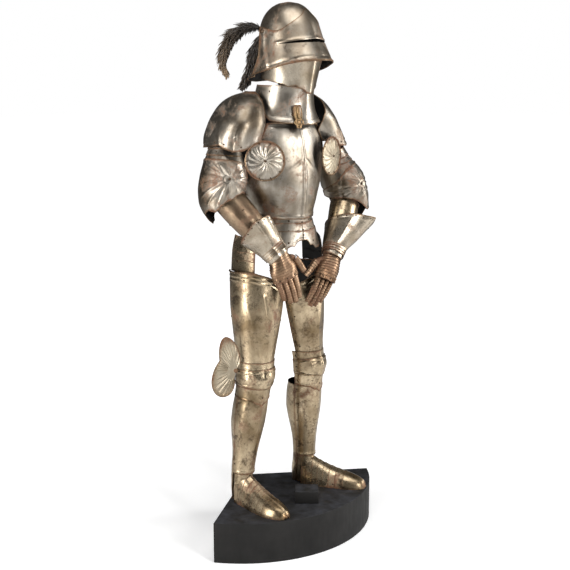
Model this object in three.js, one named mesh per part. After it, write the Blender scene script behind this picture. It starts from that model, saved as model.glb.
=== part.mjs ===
// Full suit of late Gothic plate armour, standing on a low sector-shaped plinth.
// Units are millimetres, +Z is up, the wearer faces -Y, and +X is the wearer's left.
// The origin is on the plinth's underside, below the suit's centre line.
import * as THREE from 'three';

// ---------- driving sizes ----------

const PLATE = 1.5; // thickness of every steel plate
const SEAM = 0.3; // clearance between neighbouring pieces
const PLINTH = { height: 150, radius: 487, halfAngle: 55, cornerX: 15, cornerY: 198 };
const BLOCK = { width: 86, depth: 80, height: 45, x: 8, y: -152, turn: -43 };
const TRUNK_TURN = -7; // the trunk is turned a little to the wearer's right
const TRUNK_Y = -5;

// Joint centres of the empty suit, heights above the plinth's top.
const ARM = {
  right: {
    shoulder: [-208, 20, 1400], elbow: [-252, 14, 1158], wrist: [-135, -150, 938],
    tips: [-54, -160, 752], back: [-0.45, -1, 0.1],
  },
  left: {
    shoulder: [178, -22, 1390], elbow: [284, -76, 1112], wrist: [134, -150, 905],
    tips: [62, -150, 752], back: [0, -1, 0.1],
  },
};
const LEG = {
  right: { hip: [-95, 0], knee: [-125, -15], ankle: [-163, 14], turn: -10, footTurn: -2 },
  left: { hip: [82, 0], knee: [133, -17], ankle: [141, 0], turn: 5, footTurn: 27 },
};
const HIP_Z = 900;
const KNEE_Z = 485;
const ANKLE_Z = 110;

// ---------- tables of sections: one row for each level ----------
// z level, cx cy centre, w half width, f depth to the front, b depth to the back,
// k height of the medial ridge, n squareness (2 is an ellipse)

const COLUMNS = ['z', 'cx', 'cy', 'w', 'f', 'b', 'k', 'n'];

const TRUNK_ROWS = [
  [940, 0, 4, 150, 152, 132, 10, 2.1],
  [1000, 0, 2, 134, 142, 118, 14, 2.1],
  [1060, 0, 0, 120, 130, 100, 20, 2.1],
  [1120, 0, 0, 135, 137, 106, 22, 2.1],
  [1200, 0, 0, 158, 142, 116, 22, 2.1],
  [1260, 0, 0, 166, 138, 124, 20, 2.1],
  [1330, 0, 0, 164, 128, 128, 16, 2.1],
  [1400, 0, 4, 148, 108, 122, 10, 2.1],
  [1440, 0, 10, 130, 90, 108, 6, 2.1],
];

const TASSET_ROWS = [
  [860, 0, 4, 172, 162, 150, 0, 2.1],
  [930, 0, 4, 168, 160, 146, 0, 2.1],
  [1010, 0, 4, 153, 154, 130, 0, 2.1],
];

const NECK_ROWS = [
  [1385, 0, -8, 142, 152, 120, 4, 2.2],
  [1420, 0, -14, 120, 136, 108, 4, 2.1],
  [1463, 0, -24, 103, 124, 104, 5, 2],
  [1495, 0, -32, 98, 117, 100, 6, 2],
  [1525, 0, -40, 97, 116, 96, 6, 2],
];

const CHIN_ROWS = [
  [1480, 0, -32, 86, 122, 80, 6, 2],
  [1520, 0, -40, 88, 121, 80, 7, 2],
  [1560, 0, -50, 94, 120, 80, 7, 2],
  [1610, 0, -60, 104, 122, 80, 7, 2],
];

const HELM_ROWS = [
  [1520, 0, -60, 128, 150, 178, 0, 2],
  [1545, 0, -66, 126, 152, 160, 0, 2],
  [1580, 0, -76, 122, 154, 142, 2, 2],
  [1605, 0, -79, 116, 147, 131, 4, 2],
  [1625, 0, -78, 111, 136, 125, 5, 2],
  [1650, 0, -74, 106, 125, 119, 6, 2],
  [1690, 0, -66, 100, 113, 112, 6, 2],
  [1725, 0, -62, 92, 104, 103, 5, 2],
  [1755, 0, -61, 79, 89, 90, 4, 2],
  [1780, 0, -61, 59, 66, 68, 3, 2],
  [1795, 0, -62, 36, 40, 42, 2, 2],
  [1800, 0, -62, 20, 22, 24, 0, 2],
  [1802, 0, -62, 0.5, 0.5, 0.5, 0, 2],
];

const SHOULDER_ROWS = [
  [1285, -208, -2, 84, 106, 88, 0, 2.4],
  [1342, -202, -2, 88, 117, 90, 0, 2.5],
  [1389, -188, -2, 85, 122, 86, 0, 2.5],
  [1434, -174, -2, 74, 106, 74, 0, 2.4],
  [1463, -159, -2, 62, 82, 62, 0, 2.3],
  [1483, -140, -2, 46, 54, 46, 0, 2.1],
  [1497, -118, -2, 16, 18, 18, 0, 2],
];

// The left shoulder hangs lower: how far each of its sections sits nearer the neck.
const LEFT_SHOULDER_INSET = [4, 34, 46, 48, 44, 38, 30];
const LEFT_WING = 0.86; // its front wing is shallower than the right one's

// Upper arm, measured from the elbow towards the shoulder.
const UPPER_ARM_ROWS = [
  [-112, 16, -16, 36, 34, 38, 0, 2],
  [-75, 4, -4, 54, 58, 62, 0, 2],
  [-40, 0, 2, 64, 74, 74, 0, 2],
  [0, 0, 4, 72, 88, 76, 0, 2],
  [45, 0, 2, 76, 92, 70, 0, 2],
  [90, 0, 0, 70, 80, 66, 0, 2],
  [150, 0, 0, 58, 58, 58, 0, 2],
  [200, 0, 0, 54, 54, 54, 0, 2],
];

// Forearm, measured from the wrist towards the elbow.
const FOREARM_ROWS = [
  [20, 0, 0, 35, 31, 31, 0, 2],
  [90, 0, 0, 43, 40, 38, 0, 2],
  [160, 0, 0, 51, 50, 46, 0, 2],
  [220, 0, 0, 54, 53, 50, 0, 2],
  [280, 0, 0, 54, 52, 50, 0, 2],
];

const CUFF_ROWS = [
  [-12, 0, 0, 42, 34, 32, 3, 2],
  [30, 0, 0, 46, 42, 40, 4, 2],
  [90, 0, -12, 62, 66, 58, 5, 2],
  [175, 0, -32, 80, 94, 88, 6, 2],
];

// Finger lengths beyond the knuckles, and the knuckles' place below the wrist.
const FINGER_REACH = { index: 106, middle: 116, ring: 110, little: 90 };
const KNUCKLE = -82;

const HAND_ROWS = [
  [-94, 0, 7, 45, 27, 20, 2, 2.4],
  [-82, 0, 6, 45, 27, 20, 2, 2.4],
  [-54, 0, 2, 45, 29, 22, 3, 2.4],
  [-20, 0, 0, 37, 29, 24, 3, 2.2],
  [16, 0, 0, 32, 24, 20, 2, 2.1],
];

// Leg profile by height: half width, front depth, back depth, ridge.
const LEG_PROFILE = [
  { z: 2, w: 34, f: 40, b: 50, k: 0 },
  { z: 40, w: 36, f: 44, b: 52, k: 0 },
  { z: 90, w: 39, f: 43, b: 44, k: 1 },
  { z: 125, w: 41, f: 43, b: 41, k: 2 },
  { z: 170, w: 43, f: 44, b: 45, k: 4 },
  { z: 210, w: 46, f: 47, b: 55, k: 5 },
  { z: 260, w: 53, f: 53, b: 70, k: 5 },
  { z: 310, w: 58, f: 59, b: 80, k: 5 },
  { z: 360, w: 59, f: 62, b: 78, k: 4 },
  { z: 410, w: 58, f: 62, b: 68, k: 4 },
  { z: 445, w: 60, f: 66, b: 60, k: 3 },
  { z: 482, w: 65, f: 75, b: 62, k: 3 },
  { z: 520, w: 65, f: 70, b: 64, k: 3 },
  { z: 590, w: 74, f: 76, b: 74, k: 3 },
  { z: 650, w: 83, f: 85, b: 82, k: 3 },
  { z: 750, w: 95, f: 96, b: 93, k: 2 },
  { z: 880, w: 99, f: 101, b: 98, k: 1 },
];

// Foot, measured from the heel towards the toe: f is the height above the sole.
const FOOT_ROWS = [
  [56, 0, 0, 39, 124, 10, 0, 2],
  [84, 0, 0, 43, 106, 10, 0, 2],
  [125, 0, 0, 46, 84, 10, 2, 2],
  [180, 2, 0, 49, 62, 10, 3, 2.1],
  [230, 3, 0, 47, 48, 10, 3, 2.2],
  [270, 2, 0, 38, 38, 10, 2, 2.2],
  [298, 0, 0, 22, 26, 10, 1, 2.1],
  [306, 0, 0, 8, 12, 10, 0, 2],
];

// ---------- finishes ----------

const finish = (color, roughness, metalness) => () => (
  new THREE.MeshStandardMaterial({ color, roughness, metalness }));
const steel = finish(0xb3aca0, 0.32, 1);
const warmSteel = finish(0xb5a382, 0.35, 1);
const rustySteel = finish(0x9a7350, 0.5, 0.9);
const brass = finish(0x8a6f45, 0.45, 1);
const feather = finish(0x2c241d, 0.95, 0);
const blackPaint = finish(0x24231f, 0.6, 0);

// ---------- section and plate functions ----------

const radians = THREE.MathUtils.degToRad;

// Smooth value of every column at level z, through the rows in order.
function sectionAt(rows, z) {
  const last = rows.length - 1;
  let i = 0;
  while (i < last - 1 && z > rows[i + 1][0]) i += 1;
  const span = rows[i + 1][0] - rows[i][0];
  const t = THREE.MathUtils.clamp((z - rows[i][0]) / span, 0, 1);
  const section = {};
  COLUMNS.forEach((name, c) => {
    section[name] = hermite(rows, i, c, t, span);
  });
  return section;
}

// One cubic step between rows i and i + 1 of column c, flat where the column turns.
function hermite(rows, i, c, t, span) {
  const slope = (a) => {
    const rise = (rows[a + 1][c] - rows[a][c]) / (rows[a + 1][0] - rows[a][0]);
    return rise;
  };
  const tangent = (a) => {
    if (a === 0) return slope(0);
    if (a === rows.length - 1) return slope(a - 1);
    const before = slope(a - 1);
    const after = slope(a);
    return before * after <= 0 ? 0 : (2 * before * after) / (before + after);
  };
  const m0 = tangent(i) * span;
  const m1 = tangent(i + 1) * span;
  const t2 = t * t;
  const t3 = t2 * t;
  const y0 = rows[i][c];
  const y1 = rows[i + 1][c];
  return (2 * t3 - 3 * t2 + 1) * y0 + (t3 - 2 * t2 + t) * m0 + (3 * t2 - 2 * t3) * y1 + (t3 - t2) * m1;
}

// Point of the form at an angle (0 front, +90 the wearer's left) and a level.
function formPoint(rows, degrees, z) {
  const s = sectionAt(rows, z);
  const sine = Math.sin(radians(degrees));
  const cosine = Math.cos(radians(degrees));
  const power = 2 / s.n;
  const depth = cosine > 0 ? s.f : s.b;
  const turn = Math.abs(THREE.MathUtils.euclideanModulo(degrees + 180, 360) - 180);
  const ridge = s.k * Math.max(0, 1 - turn / 50) ** 2;
  const x = s.cx + s.w * Math.sign(sine) * Math.abs(sine) ** power;
  const y = s.cy - depth * Math.sign(cosine) * Math.abs(cosine) ** power - ridge;
  return new THREE.Vector3(x, y, z);
}

// Outward normal of the form, from two short steps along it.
function formNormal(rows, degrees, z) {
  const around = formPoint(rows, degrees + 1.5, z).sub(formPoint(rows, degrees - 1.5, z));
  const top = rows[rows.length - 1][0];
  const upper = Math.min(z + 2, top);
  const lower = Math.max(upper - 4, rows[0][0]);
  const upward = formPoint(rows, degrees, upper).sub(formPoint(rows, degrees, lower));
  return around.cross(upward).normalize();
}

// Straight-line value of an edge table [[angle, level], ...] at an angle.
function edgeAt(edge, degrees) {
  if (typeof edge === 'number') return edge;
  const last = edge.length - 1;
  let i = 0;
  while (i < last - 1 && degrees > edge[i + 1][0]) i += 1;
  const t = THREE.MathUtils.clamp((degrees - edge[i][0]) / (edge[i + 1][0] - edge[i][0]), 0, 1);
  return THREE.MathUtils.lerp(edge[i][1], edge[i + 1][1], t);
}

// The same edge on both sides of the front, from its half with angles of 0 and more.
function bothSides(half) {
  const other = half.filter(([angle]) => angle > 0).map(([angle, level]) => [-angle, level]);
  return [...other.reverse(), ...half];
}

// The same edge on both sides of the back, from its half with angles of 180 and less.
function roundBack(half) {
  const other = half.filter(([angle]) => angle < 180).map(([angle, level]) => [360 - angle, level]);
  return [...half, ...other.reverse()];
}

// A closed sheet-metal shell on a form. levels are edges from low to high, steps the
// cells between each two of them, and hole tells which cells are cut away.
function plate(rows, spec) {
  const { from, to, around, levels, steps, lift = 0, side = -1, hole = () => false } = spec;
  const thickness = spec.thickness ?? PLATE;
  const ring = Math.abs(to - from) >= 359.9;
  const columns = ring ? around : around + 1;
  const bands = steps.flatMap((count, band) => (
    Array.from({ length: count }, (_, n) => [band, n / count])));
  const knots = [...bands, [steps.length - 1, 1]];
  const positions = [];
  const index = [];
  const place = (column, knot, inner) => (knot * columns + (column % columns)) * 2 + inner;
  knots.forEach(([band, t]) => {
    for (let column = 0; column < columns; column += 1) {
      const degrees = from + ((to - from) * column) / around;
      const z = THREE.MathUtils.lerp(edgeAt(levels[band], degrees), edgeAt(levels[band + 1], degrees), t);
      const point = formPoint(rows, degrees, z);
      const normal = formNormal(rows, degrees, z);
      [lift + thickness, lift].forEach((out) => {
        const moved = point.clone().addScaledVector(normal, out);
        positions.push(-side * moved.x, moved.y, moved.z);
      });
    }
  });
  const rings = knots.length - 1;
  const solidCell = (column, knot) => {
    if (knot < 0 || knot >= rings) return false;
    if (!ring && (column < 0 || column >= around)) return false;
    return !hole((column + around) % around, bands[knot][0]);
  };
  const quad = (a, b, c, d) => (side < 0 ? index.push(a, b, c, a, c, d) : index.push(a, c, b, a, d, c));
  for (let knot = 0; knot < rings; knot += 1) {
    for (let column = 0; column < around; column += 1) {
      if (!solidCell(column, knot)) continue;
      const outer = [place(column, knot, 0), place(column + 1, knot, 0), place(column + 1, knot + 1, 0),
        place(column, knot + 1, 0)];
      const inner = outer.map((vertex) => vertex + 1);
      quad(outer[0], outer[1], outer[2], outer[3]);
      quad(inner[3], inner[2], inner[1], inner[0]);
      if (!solidCell(column, knot - 1)) quad(outer[1], outer[0], inner[0], inner[1]);
      if (!solidCell(column, knot + 1)) quad(outer[3], outer[2], inner[2], inner[3]);
      if (!solidCell(column - 1, knot)) quad(outer[0], outer[3], inner[3], inner[0]);
      if (!solidCell(column + 1, knot)) quad(outer[2], outer[1], inner[1], inner[2]);
    }
  }
  const geometry = new THREE.BufferGeometry();
  geometry.setAttribute('position', new THREE.Float32BufferAttribute(positions, 3));
  geometry.setIndex(index);
  return geometry;
}

// A named mesh, added to its group.
function add(group, name, geometry, material) {
  const mesh = new THREE.Mesh(geometry, material);
  mesh.name = name;
  group.add(mesh);
  return mesh;
}

// A group at a point, with +Z along one direction and -Y near another.
function framed(parent, origin, along, front) {
  const z = new THREE.Vector3(...along).normalize();
  const y = new THREE.Vector3(...front).negate();
  y.addScaledVector(z, -y.dot(z)).normalize();
  const x = y.clone().cross(z);
  const group = new THREE.Group();
  group.position.set(...origin);
  group.quaternion.setFromRotationMatrix(new THREE.Matrix4().makeBasis(x, y, z));
  parent.add(group);
  return group;
}

const minus = (a, b) => a.map((value, i) => value - b[i]);

// ---------- plinth ----------

// A slice of a cylinder with its corner at the origin, fanned from that corner.
function sectorPrism(radius, halfAngle, height, steps) {
  const positions = [0, 0, 0, 0, 0, height];
  const index = [];
  for (let i = 0; i <= steps; i += 1) {
    const angle = radians(-90 - halfAngle + (2 * halfAngle * i) / steps);
    const x = radius * Math.cos(angle);
    const y = radius * Math.sin(angle);
    positions.push(x, y, 0, x, y, height);
  }
  const quad = (a, b) => index.push(a, b, b + 1, a, b + 1, a + 1);
  for (let i = 1; i <= steps; i += 1) {
    const low = 2 * i;
    index.push(0, low + 2, low);
    index.push(1, low + 1, low + 3);
    quad(low, low + 2);
  }
  quad(0, 2);
  quad(2 * steps + 2, 0);
  const geometry = new THREE.BufferGeometry();
  geometry.setAttribute('position', new THREE.Float32BufferAttribute(positions, 3));
  geometry.setIndex(index);
  return geometry;
}

function buildPlinth(group) {
  const { height, radius, halfAngle, cornerX, cornerY } = PLINTH;
  const body = sectorPrism(radius, halfAngle, height, 25);
  add(group, 'plinth', body, blackPaint()).position.set(cornerX, cornerY, 0);
  const block = new THREE.BoxGeometry(BLOCK.width, BLOCK.depth, BLOCK.height);
  const rest = add(group, 'plinth_block', block, blackPaint());
  rest.position.set(BLOCK.x, BLOCK.y, height + SEAM + BLOCK.height / 2);
  rest.rotation.z = radians(BLOCK.turn);
}

// ---------- helmet: sallet with visor, plume ----------

const VISOR_REAR = 101;
const VISOR_ARM_STRETCH = 1.8; // the visor's arms run straighter back than the skull does
const VISOR_ROWS = HELM_ROWS.map(([z, cx, cy, w, f, b, ...rest]) => (
  [z, cx, cy, w, f, b * VISOR_ARM_STRETCH, ...rest]));
const VISOR_TOP = bothSides([[0, 1774], [15, 1757], [30, 1744], [45, 1730], [60, 1712], [80, 1704],
  [94, 1706], [VISOR_REAR, 1712]]);
const VISOR_LOW = bothSides([[0, 1604], [30, 1603], [60, 1590], [90, 1568], [VISOR_REAR, 1556]]);
const SLIT_LOW = bothSides([[0, 1664], [30, 1661], [60, 1659], [VISOR_REAR, 1658]]);
const SLIT_HIGH = bothSides([[0, 1675], [30, 1670], [60, 1662], [VISOR_REAR, 1661]]);
const SKULL_LOW = roundBack([[0, 1748], [30, 1718], [60, 1688], [88, 1678], [98, 1655], [105, 1600],
  [109, 1550], [150, 1536], [180, 1530]]);

const SKULL_MIDDLE = roundBack([[0, 1757], [30, 1738], [60, 1715], [90, 1700], [180, 1700]]);

function buildHelmet(group) {
  const skull = plate(HELM_ROWS, {
    from: 0, to: 360, around: 30, levels: [SKULL_LOW, SKULL_MIDDLE, 1766, 1802], steps: [5, 2, 3],
  });
  add(group, 'sallet_skull', skull, steel());
  const slitColumns = (column, band) => band === 1 && column >= 3 && column <= 16;
  const visor = plate(VISOR_ROWS, {
    from: -VISOR_REAR, to: VISOR_REAR, around: 20, lift: 5.6, steps: [4, 1, 3], hole: slitColumns,
    levels: [VISOR_LOW, SLIT_LOW, SLIT_HIGH, VISOR_TOP],
  });
  add(group, 'sallet_visor', visor, steel());
}

// A closed round-ended tube along a curve, wider in the middle than at its ends.
function taperedTube(points, widest) {
  const curve = new THREE.CatmullRomCurve3(points);
  const steps = 9;
  const sides = 8;
  const frames = curve.computeFrenetFrames(steps, false);
  const positions = [];
  const index = [];
  for (let i = 0; i <= steps; i += 1) {
    const centre = curve.getPointAt(i / steps);
    const radius = 4 + (widest - 4) * Math.sin(Math.PI * (0.06 + 0.84 * (i / steps)));
    for (let j = 0; j < sides; j += 1) {
      const angle = (2 * Math.PI * j) / sides;
      const point = centre.clone().addScaledVector(frames.normals[i], radius * Math.cos(angle));
      point.addScaledVector(frames.binormals[i], 0.75 * radius * Math.sin(angle));
      positions.push(...point);
    }
  }
  const vertex = (i, j) => i * sides + (j % sides);
  for (let j = 0; j < sides; j += 1) {
    for (let i = 0; i < steps; i += 1) {
      index.push(vertex(i, j), vertex(i, j + 1), vertex(i + 1, j + 1));
      index.push(vertex(i, j), vertex(i + 1, j + 1), vertex(i + 1, j));
    }
  }
  for (let j = 1; j < sides - 1; j += 1) {
    index.push(vertex(0, 0), vertex(0, j + 1), vertex(0, j));
    index.push(vertex(steps, 0), vertex(steps, j), vertex(steps, j + 1));
  }
  const geometry = new THREE.BufferGeometry();
  geometry.setAttribute('position', new THREE.Float32BufferAttribute(positions, 3));
  geometry.setIndex(index);
  return geometry;
}

// Each feather leaves the socket along `out`; path gives distance out and rise.
function buildPlume(group) {
  const base = [0, 62, 1712];
  const tube = new THREE.CylinderGeometry(9, 7, 44, 12).rotateX(Math.PI / 2);
  const holder = add(group, 'plume_socket', tube, brass());
  holder.position.set(...base);
  const feathers = [
    { name: 'plume_back', out: [-0.5, 0.866], width: 23,
      path: [[13, 8], [44, 14], [82, 10], [124, -14], [152, -58], [160, -106], [146, -152]] },
    { name: 'plume_right', out: [-0.62, 0.78], width: 21,
      path: [[13, -14], [24, -34], [36, -62], [46, -102], [62, -150], [84, -192]] },
    { name: 'plume_left', out: [0.92, 0.4], width: 21,
      path: [[13, 2], [44, -6], [88, -42], [126, -100], [156, -160], [176, -215]] },
  ];
  feathers.forEach(({ name, out, width, path }) => {
    const points = path.map(([reach, rise]) => (
      new THREE.Vector3(base[0] + out[0] * reach, base[1] + out[1] * reach, base[2] + rise)));
    add(group, name, taperedTube(points, width), feather());
  });
}

// ---------- bevor and its hasp ----------

function buildBevor(group) {
  const chin = plate(CHIN_ROWS, {
    from: -110, to: 110, around: 18, lift: 3.6, steps: [3],
    levels: [bothSides([[0, 1493], [12, 1500], [30, 1522], [45, 1518], [60, 1528], [80, 1536],
      [110, 1545]]),
      bothSides([[0, 1606], [60, 1600], [110, 1588]])],
  });
  add(group, 'bevor_chin', chin, steel());
  const throat = plate(NECK_ROWS, {
    from: -121, to: 121, around: 18, steps: [4],
    levels: [bothSides([[0, 1388], [35, 1393], [60, 1400], [75, 1428], [100, 1446], [121, 1450]]),
      bothSides([[0, 1512], [50, 1520], [121, 1522]])],
  });
  add(group, 'bevor_throat', throat, steel());
  const hasp = new THREE.BoxGeometry(24, 7, 78);
  const fastener = add(group, 'bevor_hasp', hasp, brass());
  fastener.position.set(-46, -158, 1416);
  fastener.rotation.z = radians(-24);
  fastener.rotation.x = radians(-10);
}

// ---------- trunk ----------

const ARMHOLE = [[0, 1390], [20, 1392], [34, 1392], [42, 1388], [50, 1345], [60, 1292], [72, 1256],
  [90, 1243]];
const BACK_TOP = [[90.2, 1243], [106, 1252], [118, 1278], [128, 1318], [138, 1366], [148, 1400],
  [180, 1428]];

function buildTrunk(group) {
  const breast = plate(TRUNK_ROWS, {
    from: -90, to: 90, around: 20, levels: [1056, bothSides(ARMHOLE)], steps: [7],
  });
  add(group, 'breastplate', breast, steel());
  const back = plate(TRUNK_ROWS, {
    from: 90.2, to: 269.8, around: 16, levels: [1056, roundBack(BACK_TOP)], steps: [5],
  });
  add(group, 'backplate', back, steel());
  const lames = [
    { name: 'fauld_1', low: [[0, 1018], [22, 1026], [60, 1022], [88, 1022]], high: 1062, lift: -5 },
    { name: 'fauld_2', low: [[0, 980], [22, 990], [60, 984], [88, 984]], high: 1030, lift: -2.5 },
    { name: 'fauld_3', low: [[0, 968], [18, 954], [34, 944], [60, 950], [88, 952]], high: 992, lift: 0 },
  ];
  lames.forEach(({ name, low, high, lift }) => {
    const lame = plate(TRUNK_ROWS, {
      from: -88, to: 88, around: 16, lift, levels: [bothSides(low), high], steps: [2],
    });
    add(group, name, lame, steel());
  });
  const culet = plate(TRUNK_ROWS, {
    from: 90, to: 270, around: 12, lift: -5, levels: [952, 1064], steps: [3],
  });
  add(group, 'culet', culet, steel());
  ['right', 'left'].forEach((name, i) => {
    const tasset = plate(TASSET_ROWS, {
      from: -112, to: i === 0 ? -63 : -70, around: 6, side: i === 0 ? -1 : 1,
      levels: [i === 0 ? 863 : 873, [[-112, 990], [-84, 990], [-58, 955]]], steps: [3],
    });
    add(group, `tasset_${name}`, tasset, steel());
  });
}

// ---------- arms ----------

function buildShoulder(group, name, side) {
  const right = side < 0;
  const leftRows = SHOULDER_ROWS.map(([z, cx, cy, w, f, ...rest], i) => (
    [z, cx + LEFT_SHOULDER_INSET[i], cy, w, f * LEFT_WING, ...rest]));
  const rows = right ? SHOULDER_ROWS : leftRows;
  const [from, to] = right ? [-214, 56] : [-196, 28];
  const low = [[-214, 1330], [-190, 1304], [-90, 1304], [-30, 1306], [0, 1312], [30, 1328], [56, 1350]];
  const high = right
    ? [[-214, 1470], [-190, 1496], [16, 1496], [36, 1468], [56, 1400]]
    : [[-196, 1440], [-170, 1496], [-46, 1496], [-20, 1460], [8, 1398], [28, 1364]];
  const pauldron = plate(rows, { from, to, around: 16, side, steps: [5], levels: [low, high] });
  add(group, `pauldron_${name}`, pauldron, steel());
}

// Each upper arm's lower edge dips where the arm bends, under the couter.
const REREBRACES = {
  right: [[[-180, 106], [-90, 94], [0, 94], [30, 70], [56, 48], [84, 40], [112, 70], [180, 106]], 168],
  left: [[[-180, 106], [-90, 94], [-5, 94], [36, 80], [58, 62], [96, 50], [130, 74], [180, 106]], 176],
};

// The couters wrap each elbow from behind; the inner edge lies where the arm bends.
const COUTERS = {
  right: {
    from: -215, to: 84,
    levels: [[[-215, -60], [-190, -98], [-160, -110], [-130, -98], [-110, -82], [-81, -68],
      [-56, -72], [-40, -54], [-24, -31], [0, -8], [22, 4], [51, 6], [84, 14]],
    [[-215, 30], [-180, 76], [-120, 104], [-30, 106], [8, 104], [30, 82], [56, 56], [84, 34]]],
  },
  left: {
    from: -190, to: 109,
    levels: [[[-190, -60], [-165, -98], [-135, -110], [-105, -98], [-85, -82], [-56, -70],
      [-14, -70], [-2, -56], [12, -31], [30, -6], [45, 8], [62, 16], [85, 24], [109, 36]],
    [[-190, 30], [-155, 76], [-95, 104], [-5, 106], [20, 102], [36, 91], [58, 75], [109, 56]]],
  },
};

const VAMBRACE_TOPS = {
  right: [[-180, 268], [-20, 262], [18, 258], [67, 252], [112, 256], [157, 264], [180, 268]],
  left: [[-180, 232], [-90, 236], [0, 228], [45, 222], [90, 216], [135, 222], [180, 232]],
};

const CUFF_TOPS = {
  right: [[-180, 112], [-90, 114], [-56, 124], [0, 138], [58, 127], [90, 116], [180, 112]],
  left: [[-180, 118], [-90, 126], [-26, 160], [0, 173], [61, 146], [106, 129], [180, 118]],
};

function buildArm(root, name, side, joints) {
  const { shoulder, elbow, wrist, tips } = joints;
  const upper = framed(root, elbow, minus(shoulder, elbow), [0, -1, 0]);
  const rerebrace = plate(UPPER_ARM_ROWS, {
    from: -180, to: 180, around: 20, side, steps: [2], levels: REREBRACES[name],
  });
  add(upper, `rerebrace_${name}`, rerebrace, steel());
  const couter = plate(UPPER_ARM_ROWS, {
    ...COUTERS[name], around: 20, lift: 3, side, steps: [6],
  });
  add(upper, `couter_${name}`, couter, steel());
  const lower = framed(root, wrist, minus(elbow, wrist), [side * 0.5, -1, 0]);
  const vambrace = plate(FOREARM_ROWS, {
    from: -180, to: 180, around: 14, side, steps: [3],
    levels: [30, VAMBRACE_TOPS[name]],
  });
  add(lower, `vambrace_${name}`, vambrace, steel());
  const cuff = plate(CUFF_ROWS, {
    from: -180, to: 180, around: 16, side, steps: [3],
    levels: [6, CUFF_TOPS[name]],
  });
  add(lower, `cuff_${name}`, cuff, warmSteel());
  const hand = framed(root, wrist, minus(wrist, tips), joints.back);
  const back = plate(HAND_ROWS, {
    from: -112, to: 112, around: 12, side, levels: [-90, 12], steps: [4],
  });
  add(hand, `hand_plate_${name}`, back, rustySteel());
  Object.keys(FINGER_REACH).forEach((finger, i) => {
    const x = 33 - 22 * i;
    const reach = FINGER_REACH[finger];
    const rows = [
      [KNUCKLE - reach, x * 0.84, 22, 8, 8, 6, 0, 2],
      [KNUCKLE - reach * 0.55, x * 0.92, 8, 9, 10, 7, 0, 2],
      [KNUCKLE, x, 2, 9.5, 12, 8, 0, 2],
    ];
    const scales = plate(rows, {
      from: -105, to: 105, around: 5, side, thickness: 1, levels: [KNUCKLE - reach, KNUCKLE], steps: [3],
    });
    add(hand, `finger_${finger}_${name}`, scales, rustySteel());
  });
  const thumb = framed(hand, [-side * 56, 8, -36], [side * 0.35, -0.1, 1], [-side * 0.5, -1, 0]);
  const thumbRows = [
    [-72, 0, 8, 9, 9, 6, 0, 2],
    [-36, 0, 2, 11, 11, 8, 0, 2],
    [0, 0, 0, 12, 12, 9, 0, 2],
  ];
  const thumbScales = plate(thumbRows, {
    from: -105, to: 105, around: 5, side, thickness: 1, levels: [-72, 0], steps: [3],
  });
  add(thumb, `thumb_${name}`, thumbScales, rustySteel());
}

function besagewProfile(radius) {
  const points = [[0, 8.4], [radius * 0.5, 5.4], [radius - 7, -1], [radius - 2, -2], [radius, 0],
    [radius - 1, 3], [radius - 4, 3], [radius - 6, 1], [radius * 0.5, 7], [0, 10]];
  return points.map(([x, y]) => new THREE.Vector2(x, y));
}

function buildBesagew(root, name, centre, facing) {
  const disc = new THREE.LatheGeometry(besagewProfile(70), 20);
  disc.rotateX(Math.PI);
  const holder = framed(root, centre, [0, 0, 1], facing);
  add(holder, `besagew_${name}`, disc, steel());
}

// ---------- legs ----------

// Sections of the leg in a group turned about its ankle.
function legRows(leg) {
  const turn = radians(-leg.turn);
  const line = [[0, leg.ankle], [ANKLE_Z, leg.ankle], [KNEE_Z, leg.knee], [HIP_Z, leg.hip]];
  return LEG_PROFILE.map(({ z, w, f, b, k }) => {
    const i = z <= ANKLE_Z ? 0 : z <= KNEE_Z ? 1 : 2;
    const t = (z - line[i][0]) / (line[i + 1][0] - line[i][0]);
    const dx = THREE.MathUtils.lerp(line[i][1][0], line[i + 1][1][0], t) - leg.ankle[0];
    const dy = THREE.MathUtils.lerp(line[i][1][1], line[i + 1][1][1], t) - leg.ankle[1];
    const cx = dx * Math.cos(turn) - dy * Math.sin(turn);
    const cy = dx * Math.sin(turn) + dy * Math.cos(turn);
    return [z, cx, cy, w, f, b, k, 2];
  });
}

function mirrorRows(rows, side) {
  return rows.map(([z, cx, ...rest]) => [z, -side * cx, ...rest]);
}

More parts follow.
